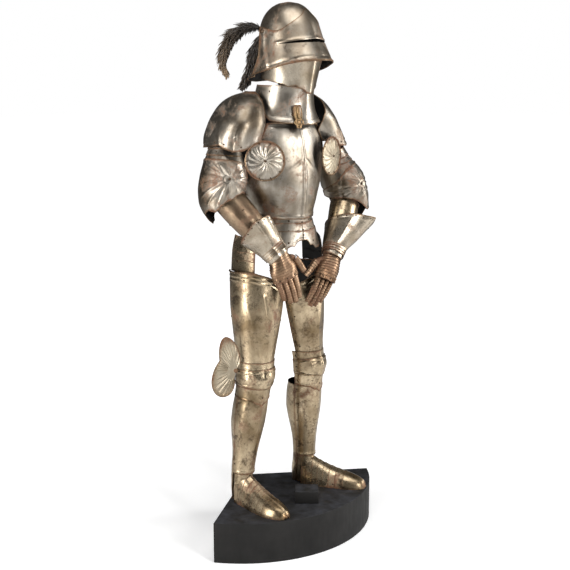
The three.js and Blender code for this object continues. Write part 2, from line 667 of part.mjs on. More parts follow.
function buildLeg(root, name, side, leg) {
  const group = new THREE.Group();
  group.position.set(leg.ankle[0], leg.ankle[1], 0);
  group.rotation.z = radians(leg.turn);
  root.add(group);
  const rows = mirrorRows(legRows(leg), side);
  const pieces = [
    { name: 'cuisse', from: -130, to: 78, around: 16, lift: 0, steps: 5, low: 526,
      high: [[-130, 862], [-43, 870], [-10, 852], [20, 826], [50, 802], [78, 792]] },
    { name: 'knee_lame_upper', from: -117, to: 91, around: 16, lift: 2.8, steps: 1, low: 506, high: 540 },
    { name: 'poleyn', from: -117, to: 91, around: 16, lift: 5.8, steps: 3,
      low: [[-117, 452], [0, 442], [91, 452]], high: [[-117, 508], [0, 516], [91, 508]] },
    { name: 'knee_lame_lower', from: -117, to: 91, around: 16, lift: 3, steps: 2,
      low: [[-117, 408], [-20, 384], [0, 378], [20, 384], [91, 408]], high: 452 },
    { name: 'greave_front', from: -91, to: 91, around: 14, lift: 0, steps: 6, low: 112,
      high: [[-91, 404], [0, 420], [91, 404]] },
    { name: 'greave_back', from: 91.4, to: 268.6, around: 12, lift: 0, steps: 7,
      low: [[91, 106], [97, 72], [104, 40], [107, 4], [248, 4], [252, 40], [260, 72], [269, 106]],
      high: 404 },
  ];
  pieces.forEach((piece) => {
    const { from, to, around, lift } = piece;
    const levels = [piece.low, piece.high];
    const shell = plate(rows, { from, to, around, lift, side, levels, steps: [piece.steps] });
    add(group, `${piece.name}_${name}`, shell, warmSteel());
  });
  buildKneeWing(group, name, side, rows);
  const foot = framed(root, [...leg.ankle, SEAM], footDirection(leg.footTurn), [0, 0, 1]);
  const sabaton = plate(FOOT_ROWS, {
    from: -90, to: 90, around: 12, side, levels: [60, 305], steps: [7],
  });
  const shell = add(foot, `sabaton_${name}`, sabaton, warmSteel());
  shell.position.z = -58;
}

function footDirection(turn) {
  return [Math.sin(radians(turn)), -Math.cos(radians(turn)), 0];
}

// Two-lobed fan on the outer side of the knee, reaching outwards and back.
const WING = { angle: -78, level: 505, clearance: 9 };

function buildKneeWing(group, name, side, rows) {
  const hub = formPoint(rows, WING.angle, WING.level);
  hub.addScaledVector(formNormal(rows, WING.angle, WING.level), WING.clearance);
  const outline = new THREE.Shape();
  outline.moveTo(20, -34);
  outline.bezierCurveTo(22, -80, 46, -96, 68, -95);
  outline.bezierCurveTo(100, -92, 112, -48, 98, -8);
  outline.bezierCurveTo(93, 12, 83, 26, 74, 40);
  outline.bezierCurveTo(78, 76, 74, 124, 50, 128);
  outline.bezierCurveTo(20, 126, -6, 74, 0, 26);
  outline.closePath();
  const fan = new THREE.ExtrudeGeometry(outline, { depth: PLATE, bevelEnabled: false, curveSegments: 6 });
  const holder = framed(group, [-side * hub.x, hub.y, hub.z], [0, 0, 1], [side * 0.6, -0.8, 0]);
  const mesh = add(holder, `knee_wing_${name}`, fan, warmSteel());
  mesh.rotation.x = Math.PI / 2;
  if (side < 0) mesh.rotation.y = Math.PI;
}

// ---------- the whole suit ----------

const suit = new THREE.Group();
buildPlinth(suit);

const figure = new THREE.Group();
figure.position.z = PLINTH.height;
suit.add(figure);

const trunk = new THREE.Group();
trunk.position.set(0, TRUNK_Y, 0);
trunk.rotation.z = radians(TRUNK_TURN);
figure.add(trunk);

buildHelmet(figure);
buildPlume(figure);
buildBevor(figure);
buildTrunk(trunk);
[['right', -1], ['left', 1]].forEach(([name, side]) => {
  buildShoulder(trunk, name, side);
  buildArm(figure, name, side, ARM[name]);
  buildLeg(figure, name, side, LEG[name]);
});
buildBesagew(figure, 'right', [-173, -127, 1268], [-0.62, -0.79, 0]);
buildBesagew(figure, 'left', [128, -148, 1270], [0.28, -0.96, 0]);

export default suit;
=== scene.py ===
# %% [markdown]
# # A suit of plate armour on its plinth
# The real thing is some thirty steel plates hung on straps and rivets: a sallet with a visor, a bevor for the
# neck and chin, a breastplate with hip lames, arm and leg harness, gauntlets with scaled fingers and pointed
# shoes.
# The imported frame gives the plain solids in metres, with the visor on a hinge of its own. This script dresses
# each of them in finer sheet metal with fluting, rolled edges, rivets and old rust.

# %% Load the frame
import math
import bpy
import numpy as np
from mathutils import Matrix, Vector


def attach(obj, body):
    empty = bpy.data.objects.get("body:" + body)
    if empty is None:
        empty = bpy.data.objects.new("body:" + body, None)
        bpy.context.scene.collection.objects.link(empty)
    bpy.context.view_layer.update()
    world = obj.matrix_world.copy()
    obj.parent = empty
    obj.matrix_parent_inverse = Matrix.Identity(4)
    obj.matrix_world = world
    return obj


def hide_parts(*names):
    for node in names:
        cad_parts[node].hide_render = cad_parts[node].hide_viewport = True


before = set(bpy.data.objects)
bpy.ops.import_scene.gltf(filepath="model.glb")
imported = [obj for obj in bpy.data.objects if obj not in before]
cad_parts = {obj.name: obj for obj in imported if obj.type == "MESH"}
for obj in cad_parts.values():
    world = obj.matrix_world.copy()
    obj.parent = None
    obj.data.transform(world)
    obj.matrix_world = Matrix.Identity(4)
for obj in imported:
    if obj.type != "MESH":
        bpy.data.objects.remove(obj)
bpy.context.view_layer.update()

# %% [markdown]
# ## Camera
# The suit is seen from its right front at head height, looking slightly down. A 70 mm lens four metres away
# keeps the helmet and the feet in proportion, as a portrait of a standing figure does.

# %% Camera
camera = bpy.data.objects.new("camera", bpy.data.cameras.new("camera"))
bpy.context.scene.collection.objects.link(camera)
camera.location = (-2.718, -2.935, 1.746)
heading, dip = math.radians(43.22), math.radians(11.33)
look = Vector((math.sin(heading) * math.cos(dip), math.cos(heading) * math.cos(dip), -math.sin(dip)))
camera.rotation_euler = look.to_track_quat("-Z", "Y").to_euler()
camera.data.lens = 70
camera.data.sensor_width = 36
bpy.context.scene.camera = camera
print("camera", round((camera.location - Vector((0, 0, 1))).length, 2), "m from the suit's middle")

# %% [markdown]
# ## Node helpers
# A material is a tree of nodes, and writing each node out takes three or four lines. These small functions
# make one node, set its values and link its sockets in a single call, so that a recipe reads like a sum.

# %% Node helpers


def add_node(tree, kind, wires=None, **settings):
    """A node with its settings; each wire is a value to set or a socket to link."""
    made = tree.nodes.new(kind)
    for key, value in settings.items():
        setattr(made, key, value)
    for key, value in (wires or {}).items():
        if isinstance(value, bpy.types.NodeSocket):
            tree.links.new(value, made.inputs[key])
        else:
            made.inputs[key].default_value = value
    return made


def math_node(tree, operation, *values, clamp=False):
    """One Math node; each value is a number or a socket. MULTIPLY_ADD gives first times second plus third."""
    wires = dict(enumerate(values))
    return add_node(tree, "ShaderNodeMath", wires, operation=operation, use_clamp=clamp).outputs[0]


def noise(tree, where, scale, detail, **more):
    """The grey value of a noise texture; more may set its Roughness and Distortion."""
    wires = {"Vector": where, "Scale": scale, "Detail": detail, **more}
    return add_node(tree, "ShaderNodeTexNoise", wires).outputs["Fac"]


def stretched(tree, where, upright):
    """Coordinates that make a pattern longer along Z."""
    return add_node(tree, "ShaderNodeMapping", {"Vector": where, "Scale": (1.0, 1.0, upright)}).outputs[0]


def ramp_between(tree, value, low, high):
    """0 below low, 1 above high, and a straight line between them."""
    wires = {"Value": value, "From Min": low, "From Max": high}
    return add_node(tree, "ShaderNodeMapRange", wires).outputs["Result"]


def mix_colour(tree, factor, first, second):
    """The first colour where factor is 0 and the second where it is 1."""
    wires = {0: factor, 6: first, 7: second}
    return add_node(tree, "ShaderNodeMix", wires, data_type="RGBA").outputs[2]


def new_material(name):
    """An empty node material, with its tree, its Principled shader and the object's own coordinates."""
    material = bpy.data.materials.new(name)
    material.use_nodes = True
    tree = material.node_tree
    where = add_node(tree, "ShaderNodeTexCoord").outputs["Object"]
    return material, tree, tree.nodes["Principled BSDF"], where


print("node helpers ready")

# %% [markdown]
# ## Floor and light
# Polished steel shows what stands round it more than it shows its own colour. Three tall soft panels give the
# long pale streaks down each limb, and the dim room between them gives the dark bands. The floor is a plain
# pale sheet that is no part of the object.

# %% Floor


def floor_material():
    """Pale sheet that keeps a soft shadow near the plinth and fades into the white room further out."""
    material, tree, shader, where = new_material("pale_floor")
    shader.inputs["Base Color"].default_value = (0.93, 0.93, 0.93, 1)
    shader.inputs["Roughness"].default_value = 0.7
    shader.inputs["Emission Color"].default_value = (1, 1, 1, 1)
    distance = add_node(tree, "ShaderNodeVectorMath", {0: where}, operation="LENGTH").outputs["Value"]
    wires = {"Value": distance, "From Min": 0.5, "From Max": 2.6, "To Min": 0.30, "To Max": 1.0}
    fade = add_node(tree, "ShaderNodeMapRange", wires).outputs["Result"]
    seen = add_node(tree, "ShaderNodeLightPath").outputs["Is Camera Ray"]
    tree.links.new(math_node(tree, "MULTIPLY", fade, seen), shader.inputs["Emission Strength"])
    return material


FLOOR_HALF = 30
FLOOR_LEVEL = -0.001
floor_mesh = bpy.data.meshes.new("floor")
floor_corners = [(x * FLOOR_HALF, y * FLOOR_HALF, FLOOR_LEVEL)
                 for x, y in ((-1, -1), (1, -1), (1, 1), (-1, 1))]
floor_mesh.from_pydata(floor_corners, [], [(0, 1, 2, 3)])
floor = bpy.data.objects.new("floor", floor_mesh)
bpy.context.scene.collection.objects.link(floor)
floor.data.materials.append(floor_material())
print("floor laid")

# %% Light


def panel(name, place, aim, width, height, power, warmth=(1, 1, 1)):
    """A soft light panel at place, facing aim."""
    light = bpy.data.lights.new(name, "AREA")
    light.shape = "RECTANGLE"
    light.size, light.size_y, light.energy, light.color = width, height, power, warmth
    lamp = bpy.data.objects.new(name, light)
    bpy.context.scene.collection.objects.link(lamp)
    lamp.location = place
    lamp.rotation_euler = (Vector(aim) - Vector(place)).to_track_quat("-Z", "Y").to_euler()


panel("left_panel", (-3.6, 0.3, 1.7), (0, 0, 1.0), 0.8, 3.2, 125)
panel("front_panel", (-0.5, -4.2, 2.1), (0, 0, 1.0), 0.8, 3.0, 100)
panel("right_panel", (3.0, -2.2, 1.8), (0, 0, 1.0), 0.9, 3.0, 110)
panel("top_panel", (-0.6, -0.9, 4.2), (0, 0, 1.2), 2.2, 2.2, 60)
world = bpy.data.worlds.new("studio")
world.use_nodes = True
bpy.context.scene.world = world
tree = world.node_tree
tree.nodes.clear()
room = add_node(tree, "ShaderNodeBackground", {"Color": (0.5, 0.49, 0.48, 1), "Strength": 0.13}).outputs[0]
backdrop = add_node(tree, "ShaderNodeBackground", {"Color": (1, 1, 1, 1), "Strength": 1.0}).outputs[0]
seen = add_node(tree, "ShaderNodeLightPath").outputs["Is Camera Ray"]
blend = add_node(tree, "ShaderNodeMixShader", {0: seen, 1: room, 2: backdrop}).outputs[0]
add_node(tree, "ShaderNodeOutputWorld", {0: blend})
bpy.context.scene.view_settings.view_transform = "Standard"
# %% [markdown]
# ## Shared shader groups
# Old steel is one metal with several skins: bare polish, a yellow-brown tarnish, rust where water sat, and a
# hammered inside painted near black, which is painted shade of the hollow. Each skin is a small group here, so
# that every plate mixes the same ones in its own amounts. One big material for all would be shorter, but the
# legs are more golden than the chest. Patterns read the object's own coordinates, and each plate carries two
# values of its own: rim, which is 1 at an edge and at each lap between lames and fades inwards, and inside,
# which is 1 on the hollow side.

# %% Rust, tarnish, grain and dust groups
VECTOR, FLOAT, COLOUR = "NodeSocketVector", "NodeSocketFloat", "NodeSocketColor"


def new_group(name, inputs, outputs):
    """An empty shader group with named sockets, then what it is given and what it puts out."""
    tree = bpy.data.node_groups.new(name, "ShaderNodeTree")
    for label, kind, value in inputs:
        socket = tree.interface.new_socket(name=label, in_out="INPUT", socket_type=kind)
        if value is not None:
            socket.default_value = value
    for label, kind in outputs:
        tree.interface.new_socket(name=label, in_out="OUTPUT", socket_type=kind)
    return tree, tree.nodes.new("NodeGroupInput").outputs, tree.nodes.new("NodeGroupOutput").inputs


def build_rust():
    """Brown bloom in patches, thicker along edges, with darker pits inside it."""
    inputs = [("Vector", VECTOR, None), ("Amount", FLOAT, 0.4), ("Rim", FLOAT, 0.0)]
    tree, given, out = new_group("old_rust", inputs, [("Mask", FLOAT), ("Colour", COLOUR)])
    large = noise(tree, given["Vector"], 11.0, 5.0, Roughness=0.62, Distortion=0.5)
    speckle = noise(tree, given["Vector"], 150.0, 4.0, Roughness=0.7)
    field = math_node(tree, "MULTIPLY_ADD", speckle, 0.3, large)
    edge = math_node(tree, "MULTIPLY_ADD", given["Rim"], 0.16, field)
    low = math_node(tree, "SUBTRACT", 0.92, math_node(tree, "MULTIPLY", given["Amount"], 0.34))
    high = math_node(tree, "ADD", low, 0.16)
    tree.links.new(ramp_between(tree, edge, low, high), out["Mask"])
    grit = ramp_between(tree, speckle, 0.35, 0.68)
    tree.links.new(mix_colour(tree, grit, (0.075, 0.036, 0.019, 1), (0.25, 0.125, 0.065, 1)), out["Colour"])
    return tree


def build_tarnish():
    """Slow cloudy change of tone over a plate, and short upright smears."""
    tree, given, out = new_group("tarnish", [("Vector", VECTOR, None)], [("Cloud", FLOAT), ("Smear", FLOAT)])
    cloud = noise(tree, given["Vector"], 7.5, 5.0, Roughness=0.6)
    tree.links.new(ramp_between(tree, cloud, 0.32, 0.68), out["Cloud"])
    smear = noise(tree, stretched(tree, given["Vector"], 0.25), 60.0, 3.0)
    tree.links.new(ramp_between(tree, smear, 0.35, 0.7), out["Smear"])
    return tree


def build_grain():
    """Fine scratches of wire wool and the low waves that a hammer leaves."""
    outputs = [("Height", FLOAT), ("Gloss", FLOAT)]
    tree, given, out = new_group("hammer_and_scratches", [("Vector", VECTOR, None)], outputs)
    wires = {"Vector": given["Vector"], "Scale": 42.0}
    waves = add_node(tree, "ShaderNodeTexVoronoi", wires, feature="SMOOTH_F1").outputs["Distance"]
    scratch = noise(tree, stretched(tree, given["Vector"], 0.06), 900.0, 2.0)
    pits = noise(tree, given["Vector"], 320.0, 3.0)
    height = math_node(tree, "MULTIPLY_ADD", waves, 0.55, math_node(tree, "MULTIPLY", pits, 0.30))
    tree.links.new(math_node(tree, "MULTIPLY_ADD", scratch, 0.10, height), out["Height"])
    tree.links.new(ramp_between(tree, pits, 0.3, 0.7), out["Gloss"])
    return tree


def build_dust():
    """Dust that settles on what faces up, broken into patches."""
    inputs = [("Vector", VECTOR, None), ("Amount", FLOAT, 0.3)]
    tree, given, out = new_group("settled_dust", inputs, [("Mask", FLOAT)])
    facing = add_node(tree, "ShaderNodeNewGeometry")
    upward = add_node(tree, "ShaderNodeSeparateXYZ", {0: facing.outputs["Normal"]}).outputs["Z"]
    patch = ramp_between(tree, noise(tree, given["Vector"], 24.0, 6.0), 0.35, 0.75)
    broken = math_node(tree, "MULTIPLY", ramp_between(tree, upward, 0.4, 1.0), patch)
    tree.links.new(math_node(tree, "MULTIPLY", broken, given["Amount"]), out["Mask"])
    return tree


def build_stain():
    """Dark blotches with fine specks round them, where grease and damp have marked the steel."""
    inputs = [("Vector", VECTOR, None), ("Amount", FLOAT, 0.5)]
    tree, given, out = new_group("dark_stain", inputs, [("Mask", FLOAT)])
    blotch = noise(tree, given["Vector"], 21.0, 8.0, Roughness=0.68, Distortion=0.8)
    speck = noise(tree, given["Vector"], 120.0, 3.0)
    field = math_node(tree, "MULTIPLY_ADD", speck, 0.35, blotch)
    low = math_node(tree, "SUBTRACT", 0.90, math_node(tree, "MULTIPLY", given["Amount"], 0.22))
    high = math_node(tree, "ADD", low, 0.14)
    tree.links.new(ramp_between(tree, field, low, high), out["Mask"])
    return tree


RUST, TARNISH, GRAIN, DUST, STAIN = build_rust(), build_tarnish(), build_grain(), build_dust(), build_stain()
print("shader groups:", [group.name for group in (RUST, TARNISH, GRAIN, DUST, STAIN)])

# %% [markdown]
# ## Steel, brass, feather and paint
# A metal's colour is what it reflects, so Metallic stays at 1 on the bare skin and falls where rust covers
# it. The polish on the chest and arms is a neutral grey, the legs are yellower under old varnish, and the
# gauntlets are mostly brown. One function makes every metal, from a row of the table below it.

# %% Plate materials


def use_group(tree, group, **wires):
    """The outputs of one shared group, placed in a material with its own values."""
    return add_node(tree, "ShaderNodeGroup", wires, node_tree=group).outputs


def plate_material(name, bright_tone, dull_tone, edge_tint, rust, roughness, rim_amount, stain):
    """Bare plate in two tones with rust and tinted edges; painted shade along its laps and on its inside."""
    bright, dull, rim_tint = (*bright_tone, 1), (*dull_tone, 1), (*edge_tint, 1)
    material, tree, shader, where = new_material(name)
    rim = add_node(tree, "ShaderNodeAttribute", attribute_name="rim").outputs["Fac"]
    inside = add_node(tree, "ShaderNodeAttribute", attribute_name="inside").outputs["Fac"]
    rusty = use_group(tree, RUST, Vector=where, Amount=rust, Rim=rim)
    tone = use_group(tree, TARNISH, Vector=where)
    grain = use_group(tree, GRAIN, Vector=where)
    bare = mix_colour(tree, tone["Cloud"], bright, dull)
    smeared = mix_colour(tree, math_node(tree, "MULTIPLY", tone["Smear"], 0.35), bare, dull)
    # Along outer edges the rim tint is the steel's own browner edge; along the laps between lames it is painted
    # shade in the crevice.
    edge = math_node(tree, "MULTIPLY", math_node(tree, "POWER", rim, 2.2), rim_amount)
    edged = mix_colour(tree, edge, smeared, rim_tint)
    marked = math_node(tree, "MULTIPLY", use_group(tree, STAIN, Vector=where, Amount=stain)["Mask"], 0.75)
    stained = mix_colour(tree, marked, edged, (0.075, 0.052, 0.034, 1))
    covered = mix_colour(tree, rusty["Mask"], stained, rusty["Colour"])
    # The hollow side is painted near black: painted shade for the dark inside of each plate.
    hollow = mix_colour(tree, inside, covered, (0.020, 0.018, 0.016, 1))
    tree.links.new(hollow, shader.inputs["Base Color"])
    bare_metal = math_node(tree, "SUBTRACT", 1.0, math_node(tree, "MULTIPLY", rusty["Mask"], 0.75))
    metal = math_node(tree, "MULTIPLY_ADD", inside, -0.6, bare_metal, clamp=True)
    tree.links.new(metal, shader.inputs["Metallic"])
    rough = roughness
    for mask, gain in ((grain["Gloss"], 0.10), (tone["Cloud"], 0.07), (rusty["Mask"], 0.32)):
        rough = math_node(tree, "MULTIPLY_ADD", mask, gain, rough)
    total = math_node(tree, "MULTIPLY_ADD", inside, 0.35, rough, clamp=True)
    tree.links.new(total, shader.inputs["Roughness"])
    relief = math_node(tree, "MULTIPLY_ADD", rusty["Mask"], 0.35, grain["Height"])
    bump = add_node(tree, "ShaderNodeBump", {"Height": relief, "Strength": 0.22, "Distance": 0.0012})
    tree.links.new(bump.outputs[0], shader.inputs["Normal"])
    return material


# name, bright tone, dull tone, rim tint, rust, roughness, rim amount, stain
METALS = [
    ("bright_steel", (0.60, 0.55, 0.475), (0.17, 0.135, 0.095), (0.20, 0.115, 0.06), 0.68, 0.25, 0.75, 0.62),
    ("helmet_steel", (0.50, 0.445, 0.365), (0.20, 0.15, 0.10), (0.20, 0.12, 0.065), 0.68, 0.28, 0.75, 0.75),
    ("leg_steel", (0.68, 0.55, 0.375), (0.19, 0.135, 0.075), (0.24, 0.14, 0.07), 0.62, 0.22, 0.75, 0.95),
    ("cuff_steel", (0.66, 0.585, 0.475), (0.24, 0.19, 0.13), (0.24, 0.14, 0.07), 0.58, 0.22, 0.75, 0.50),
    ("pale_steel", (0.50, 0.44, 0.335), (0.24, 0.19, 0.13), (0.26, 0.16, 0.08), 0.55, 0.42, 0.75, 0.45),
    ("copper_steel", (0.44, 0.33, 0.22), (0.17, 0.11, 0.07), (0.20, 0.11, 0.055), 0.55, 0.30, 0.75, 0.45),
    # rusted_steel's rim tint is near black, so along the laps between the hand and finger scales it paints
    # heavy shade.
    ("rusted_steel", (0.58, 0.40, 0.26), (0.17, 0.095, 0.052), (0.045, 0.023, 0.013), 0.70, 0.30, 0.98,
     0.85),
    ("brown_edge", (0.27, 0.19, 0.115), (0.11, 0.07, 0.042), (0.17, 0.105, 0.06), 0.40, 0.36, 0.2, 0.45),
    ("dark_iron", (0.13, 0.09, 0.06), (0.06, 0.042, 0.03), (0.03, 0.02, 0.015), 0.45, 0.42, 0.2, 0.45),
    ("old_brass", (0.29, 0.195, 0.10), (0.12, 0.075, 0.038), (0.16, 0.10, 0.05), 0.52, 0.34, 0.3, 0.45)]
MATERIALS = {metal[0]: plate_material(*metal) for metal in METALS}
print("plate materials:", list(MATERIALS))

# %% Paint and feather materials


def paint_material():
    """Matt black paint on wood, dusty on top, with faint brush drag."""
    material, tree, shader, where = new_material("plinth_paint")
    dust = use_group(tree, DUST, Vector=where, Amount=0.35)
    tone = use_group(tree, TARNISH, Vector=where)
    paint = mix_colour(tree, tone["Cloud"], (0.012, 0.0115, 0.011, 1), (0.020, 0.019, 0.018, 1))
    tree.links.new(mix_colour(tree, dust["Mask"], paint, (0.10, 0.105, 0.125, 1)),
                   shader.inputs["Base Color"])
    tree.links.new(math_node(tree, "MULTIPLY_ADD", tone["Smear"], 0.14, 0.55), shader.inputs["Roughness"])
    shader.inputs["Specular IOR Level"].default_value = 0.16
    drag = noise(tree, where, 210.0, 4.0)
    bump = add_node(tree, "ShaderNodeBump", {"Height": drag, "Strength": 0.15, "Distance": 0.001})
    tree.links.new(bump.outputs[0], shader.inputs["Normal"])
    return material


def feather_material():
    """Dull brown vane, nearly black at the quill, with barbs turning tan towards the end of each feather."""
    material, tree, shader, where = new_material("dark_feather")
    tip = add_node(tree, "ShaderNodeAttribute", attribute_name="tip").outputs["Fac"]
    spots = ramp_between(tree, noise(tree, where, 90.0, 2.0), 0.4, 0.65)
    vane = mix_colour(tree, spots, (0.016, 0.011, 0.008, 1), (0.05, 0.034, 0.021, 1))
    tipped = mix_colour(tree, math_node(tree, "POWER", tip, 2.6), vane, (0.30, 0.20, 0.11, 1))
    tree.links.new(tipped, shader.inputs["Base Color"])
    shader.inputs["Roughness"].default_value = 0.85
    shader.inputs["Sheen Weight"].default_value = 0.3
    return material


MATERIALS["plinth_paint"] = paint_material()
MATERIALS["dark_feather"] = feather_material()
print("materials:", len(MATERIALS))
# %% [markdown]
# ## The body forms under the plates
# An armourer raises each plate over the same few shapes: a chest, a thigh, a forearm. Each form here is a
# short table, one row a level, and every plate is a patch of one of them. Sculpting each plate by hand
# would also do, but the tables keep lapping plates parallel. The levels and widths are in millimetres.
# The columns are z level, cx cy centre, w half width, f depth in front, b depth behind, k height of the
# medial ridge, and n squareness, where 2 is an ellipse.

# %% Trunk, neck and head forms
TRUNK = [
    [940, 0, 4, 150, 152, 132, 10, 2.1], [1000, 0, 2, 134, 142, 118, 14, 2.1],
    [1060, 0, 0, 120, 130, 100, 20, 2.1], [1120, 0, 0, 135, 137, 106, 22, 2.1],
    [1200, 0, 0, 158, 142, 116, 22, 2.1], [1260, 0, 0, 166, 138, 124, 20, 2.1],
    [1330, 0, 0, 164, 128, 128, 16, 2.1], [1400, 0, 4, 148, 108, 122, 10, 2.1],
    [1440, 0, 10, 130, 90, 108, 6, 2.1]]
HIP = [[860, 0, 4, 172, 162, 150, 0, 2.1], [930, 0, 4, 168, 160, 146, 0, 2.1],
       [1010, 0, 4, 153, 154, 130, 0, 2.1]]
NECK = [
    [1385, 0, -8, 142, 152, 120, 4, 2.2], [1420, 0, -14, 120, 136, 108, 4, 2.1],
    [1463, 0, -24, 103, 124, 104, 5, 2], [1495, 0, -32, 98, 117, 100, 6, 2],
    [1525, 0, -40, 97, 116, 96, 6, 2]]
CHIN = [
    [1480, 0, -32, 86, 122, 80, 6, 2], [1520, 0, -40, 88, 121, 80, 7, 2],
    [1560, 0, -50, 94, 120, 80, 7, 2], [1610, 0, -60, 104, 122, 80, 7, 2]]
HEAD = [
    [1520, 0, -60, 128, 150, 178, 0, 2], [1545, 0, -66, 126, 152, 160, 0, 2],
    [1580, 0, -76, 122, 154, 142, 2, 2], [1605, 0, -79, 116, 147, 131, 4, 2],
    [1625, 0, -78, 111, 136, 125, 5, 2], [1650, 0, -74, 106, 125, 119, 6, 2],
    [1690, 0, -66, 100, 113, 112, 6, 2], [1725, 0, -62, 92, 104, 103, 5, 2],
    [1755, 0, -61, 79, 89, 90, 4, 2], [1780, 0, -61, 59, 66, 68, 3, 2],
    [1795, 0, -62, 36, 40, 42, 2, 2], [1800, 0, -62, 20, 22, 24, 0, 2], [1802, 0, -62, 0.5, 0.5, 0.5, 0, 2]]
VISOR = [row[:5] + [row[5] * 1.8] + row[6:] for row in HEAD]
print("trunk and head forms:", len(TRUNK), len(HIP), len(NECK), len(CHIN), len(HEAD), "levels")

# %% Arm and hand forms, measured along each limb
SHOULDER_RIGHT = [
    [1285, -208, -2, 84, 106, 88, 0, 2.4], [1342, -202, -2, 88, 117, 90, 0, 2.5],
    [1389, -188, -2, 85, 122, 86, 0, 2.5], [1434, -174, -2, 74, 106, 74, 0, 2.4],
    [1463, -159, -2, 62, 82, 62, 0, 2.3], [1483, -140, -2, 46, 54, 46, 0, 2.1],
    [1497, -118, -2, 16, 18, 18, 0, 2]]
LEFT_INSET = [4, 34, 46, 48, 44, 38, 30]
SHOULDER_LEFT = [[r[0], r[1] + inset, r[2], r[3], r[4] * 0.86, *r[5:]]
                 for r, inset in zip(SHOULDER_RIGHT, LEFT_INSET)]
UPPER_ARM = [
    [-112, 16, -16, 36, 34, 38, 0, 2], [-75, 4, -4, 54, 58, 62, 0, 2], [-40, 0, 2, 64, 74, 74, 0, 2],
    [0, 0, 4, 72, 88, 76, 0, 2], [45, 0, 2, 76, 92, 70, 0, 2], [90, 0, 0, 70, 80, 66, 0, 2],
    [150, 0, 0, 58, 58, 58, 0, 2], [200, 0, 0, 54, 54, 54, 0, 2]]
FOREARM = [
    [20, 0, 0, 35, 31, 31, 0, 2], [90, 0, 0, 43, 40, 38, 0, 2], [160, 0, 0, 51, 50, 46, 0, 2],
    [220, 0, 0, 54, 53, 50, 0, 2], [280, 0, 0, 54, 52, 50, 0, 2]]
CUFF = [
    [-12, 0, 0, 42, 34, 32, 3, 2], [30, 0, 0, 46, 42, 40, 4, 2], [90, 0, -12, 62, 66, 58, 5, 2],
    [175, 0, -32, 80, 94, 88, 6, 2]]
HAND = [
    [-94, 0, 7, 45, 27, 20, 2, 2.4], [-82, 0, 6, 45, 27, 20, 2, 2.4], [-54, 0, 2, 45, 29, 22, 3, 2.4],
    [-20, 0, 0, 37, 29, 24, 3, 2.2], [16, 0, 0, 32, 24, 20, 2, 2.1]]
FINGER_REACH = {"index": 106, "middle": 116, "ring": 110, "little": 90}
KNUCKLE = -82
THUMB = [[-72, 0, 8, 9, 9, 6, 0, 2], [-36, 0, 2, 11, 11, 8, 0, 2], [0, 0, 0, 12, 12, 9, 0, 2]]
print("arm forms:", len(UPPER_ARM), len(FOREARM), len(CUFF), len(HAND), "levels")

# %% Leg and foot forms
LEG_PROFILE = [
    [2, 34, 40, 50, 0], [40, 36, 44, 52, 0], [90, 39, 43, 44, 1], [125, 41, 43, 41, 2], [170, 43, 44, 45, 4],
    [210, 46, 47, 55, 5], [260, 53, 53, 70, 5], [310, 58, 59, 80, 5], [360, 59, 62, 78, 4],
    [410, 58, 62, 68, 4], [445, 60, 66, 60, 3], [482, 65, 75, 62, 3], [520, 65, 70, 64, 3],
    [590, 74, 76, 74, 3], [650, 83, 85, 82, 3], [750, 95, 96, 93, 2], [880, 99, 101, 98, 1]]
FOOT = [
    [56, 0, 0, 39, 124, 10, 0, 2], [84, 0, 0, 43, 106, 10, 0, 2], [125, 0, 0, 46, 84, 10, 2, 2],
    [180, 2, 0, 49, 62, 10, 3, 2.1], [230, 3, 0, 47, 48, 10, 3, 2.2], [270, 2, 0, 38, 38, 10, 2, 2.2],
    [298, 0, 0, 22, 26, 10, 1, 2.1], [306, 0, 0, 8, 12, 10, 0, 2]]
LEGS = {
    "right": {"hip": (-95, 0), "knee": (-125, -15), "ankle": (-163, 14), "turn": -10, "foot": -2},
    "left": {"hip": (82, 0), "knee": (133, -17), "ankle": (141, 0), "turn": 5, "foot": 27}}
ARMS = {
    "right": {"shoulder": (-208, 20, 1400), "elbow": (-252, 14, 1158), "wrist": (-135, -150, 938),
              "tips": (-54, -160, 752), "back": (-0.45, -1, 0.1)},
    "left": {"shoulder": (178, -22, 1390), "elbow": (284, -76, 1112), "wrist": (134, -150, 905),
             "tips": (62, -150, 752), "back": (0, -1, 0.1)}}
SIDES = {"right": -1, "left": 1}


def leg_rows(leg):
    """The leg's sections in a frame that stands at the ankle and is turned with the foot."""
    turn = math.radians(-leg["turn"])
    heights = [0, 110, 485, 900]
    line = [leg["ankle"], leg["ankle"], leg["knee"], leg["hip"]]
    rows = []
    for z, w, f, b, k in LEG_PROFILE:
        dx = np.interp(z, heights, [p[0] for p in line]) - leg["ankle"][0]
        dy = np.interp(z, heights, [p[1] for p in line]) - leg["ankle"][1]
        cx = dx * math.cos(turn) - dy * math.sin(turn)
        cy = dx * math.sin(turn) + dy * math.cos(turn)
        rows.append([z, cx, cy, w, f, b, k, 2])
    return rows


print("leg forms:", {name: len(leg_rows(leg)) for name, leg in LEGS.items()})

# %% [markdown]
# ## Points and normals of a form
# Between two rows every column follows a smooth cubic that never overshoots, so a waist stays a waist. An
# angle of 0 is the front and +90 the wearer's left. NumPy works on a whole grid at once, which a loop over
# each vertex couldn't do as quickly.

# %% Read a form


def section(rows, z):
    """All eight columns at each level z."""
    rows = np.asarray(rows, float)
    levels = rows[:, 0]
    i = np.searchsorted(levels[1:-1], z, side="left")
    slopes = np.diff(rows, axis=0) / np.diff(levels)[:, None]
    before, after = slopes[:-1], slopes[1:]
    same = before * after > 0
    middle = np.where(same, 2 * before * after / np.where(same, before + after, 1), 0)
    tangents = np.vstack([slopes[:1], middle, slopes[-1:]])
    span = (levels[i + 1] - levels[i])[..., None]
    t = np.clip((z - levels[i])[..., None] / span, 0, 1)
    return ((2 * t**3 - 3 * t**2 + 1) * rows[i] + (t**3 - 2 * t**2 + t) * tangents[i] * span
            + (3 * t**2 - 2 * t**3) * rows[i + 1] + (t**3 - t**2) * tangents[i + 1] * span)


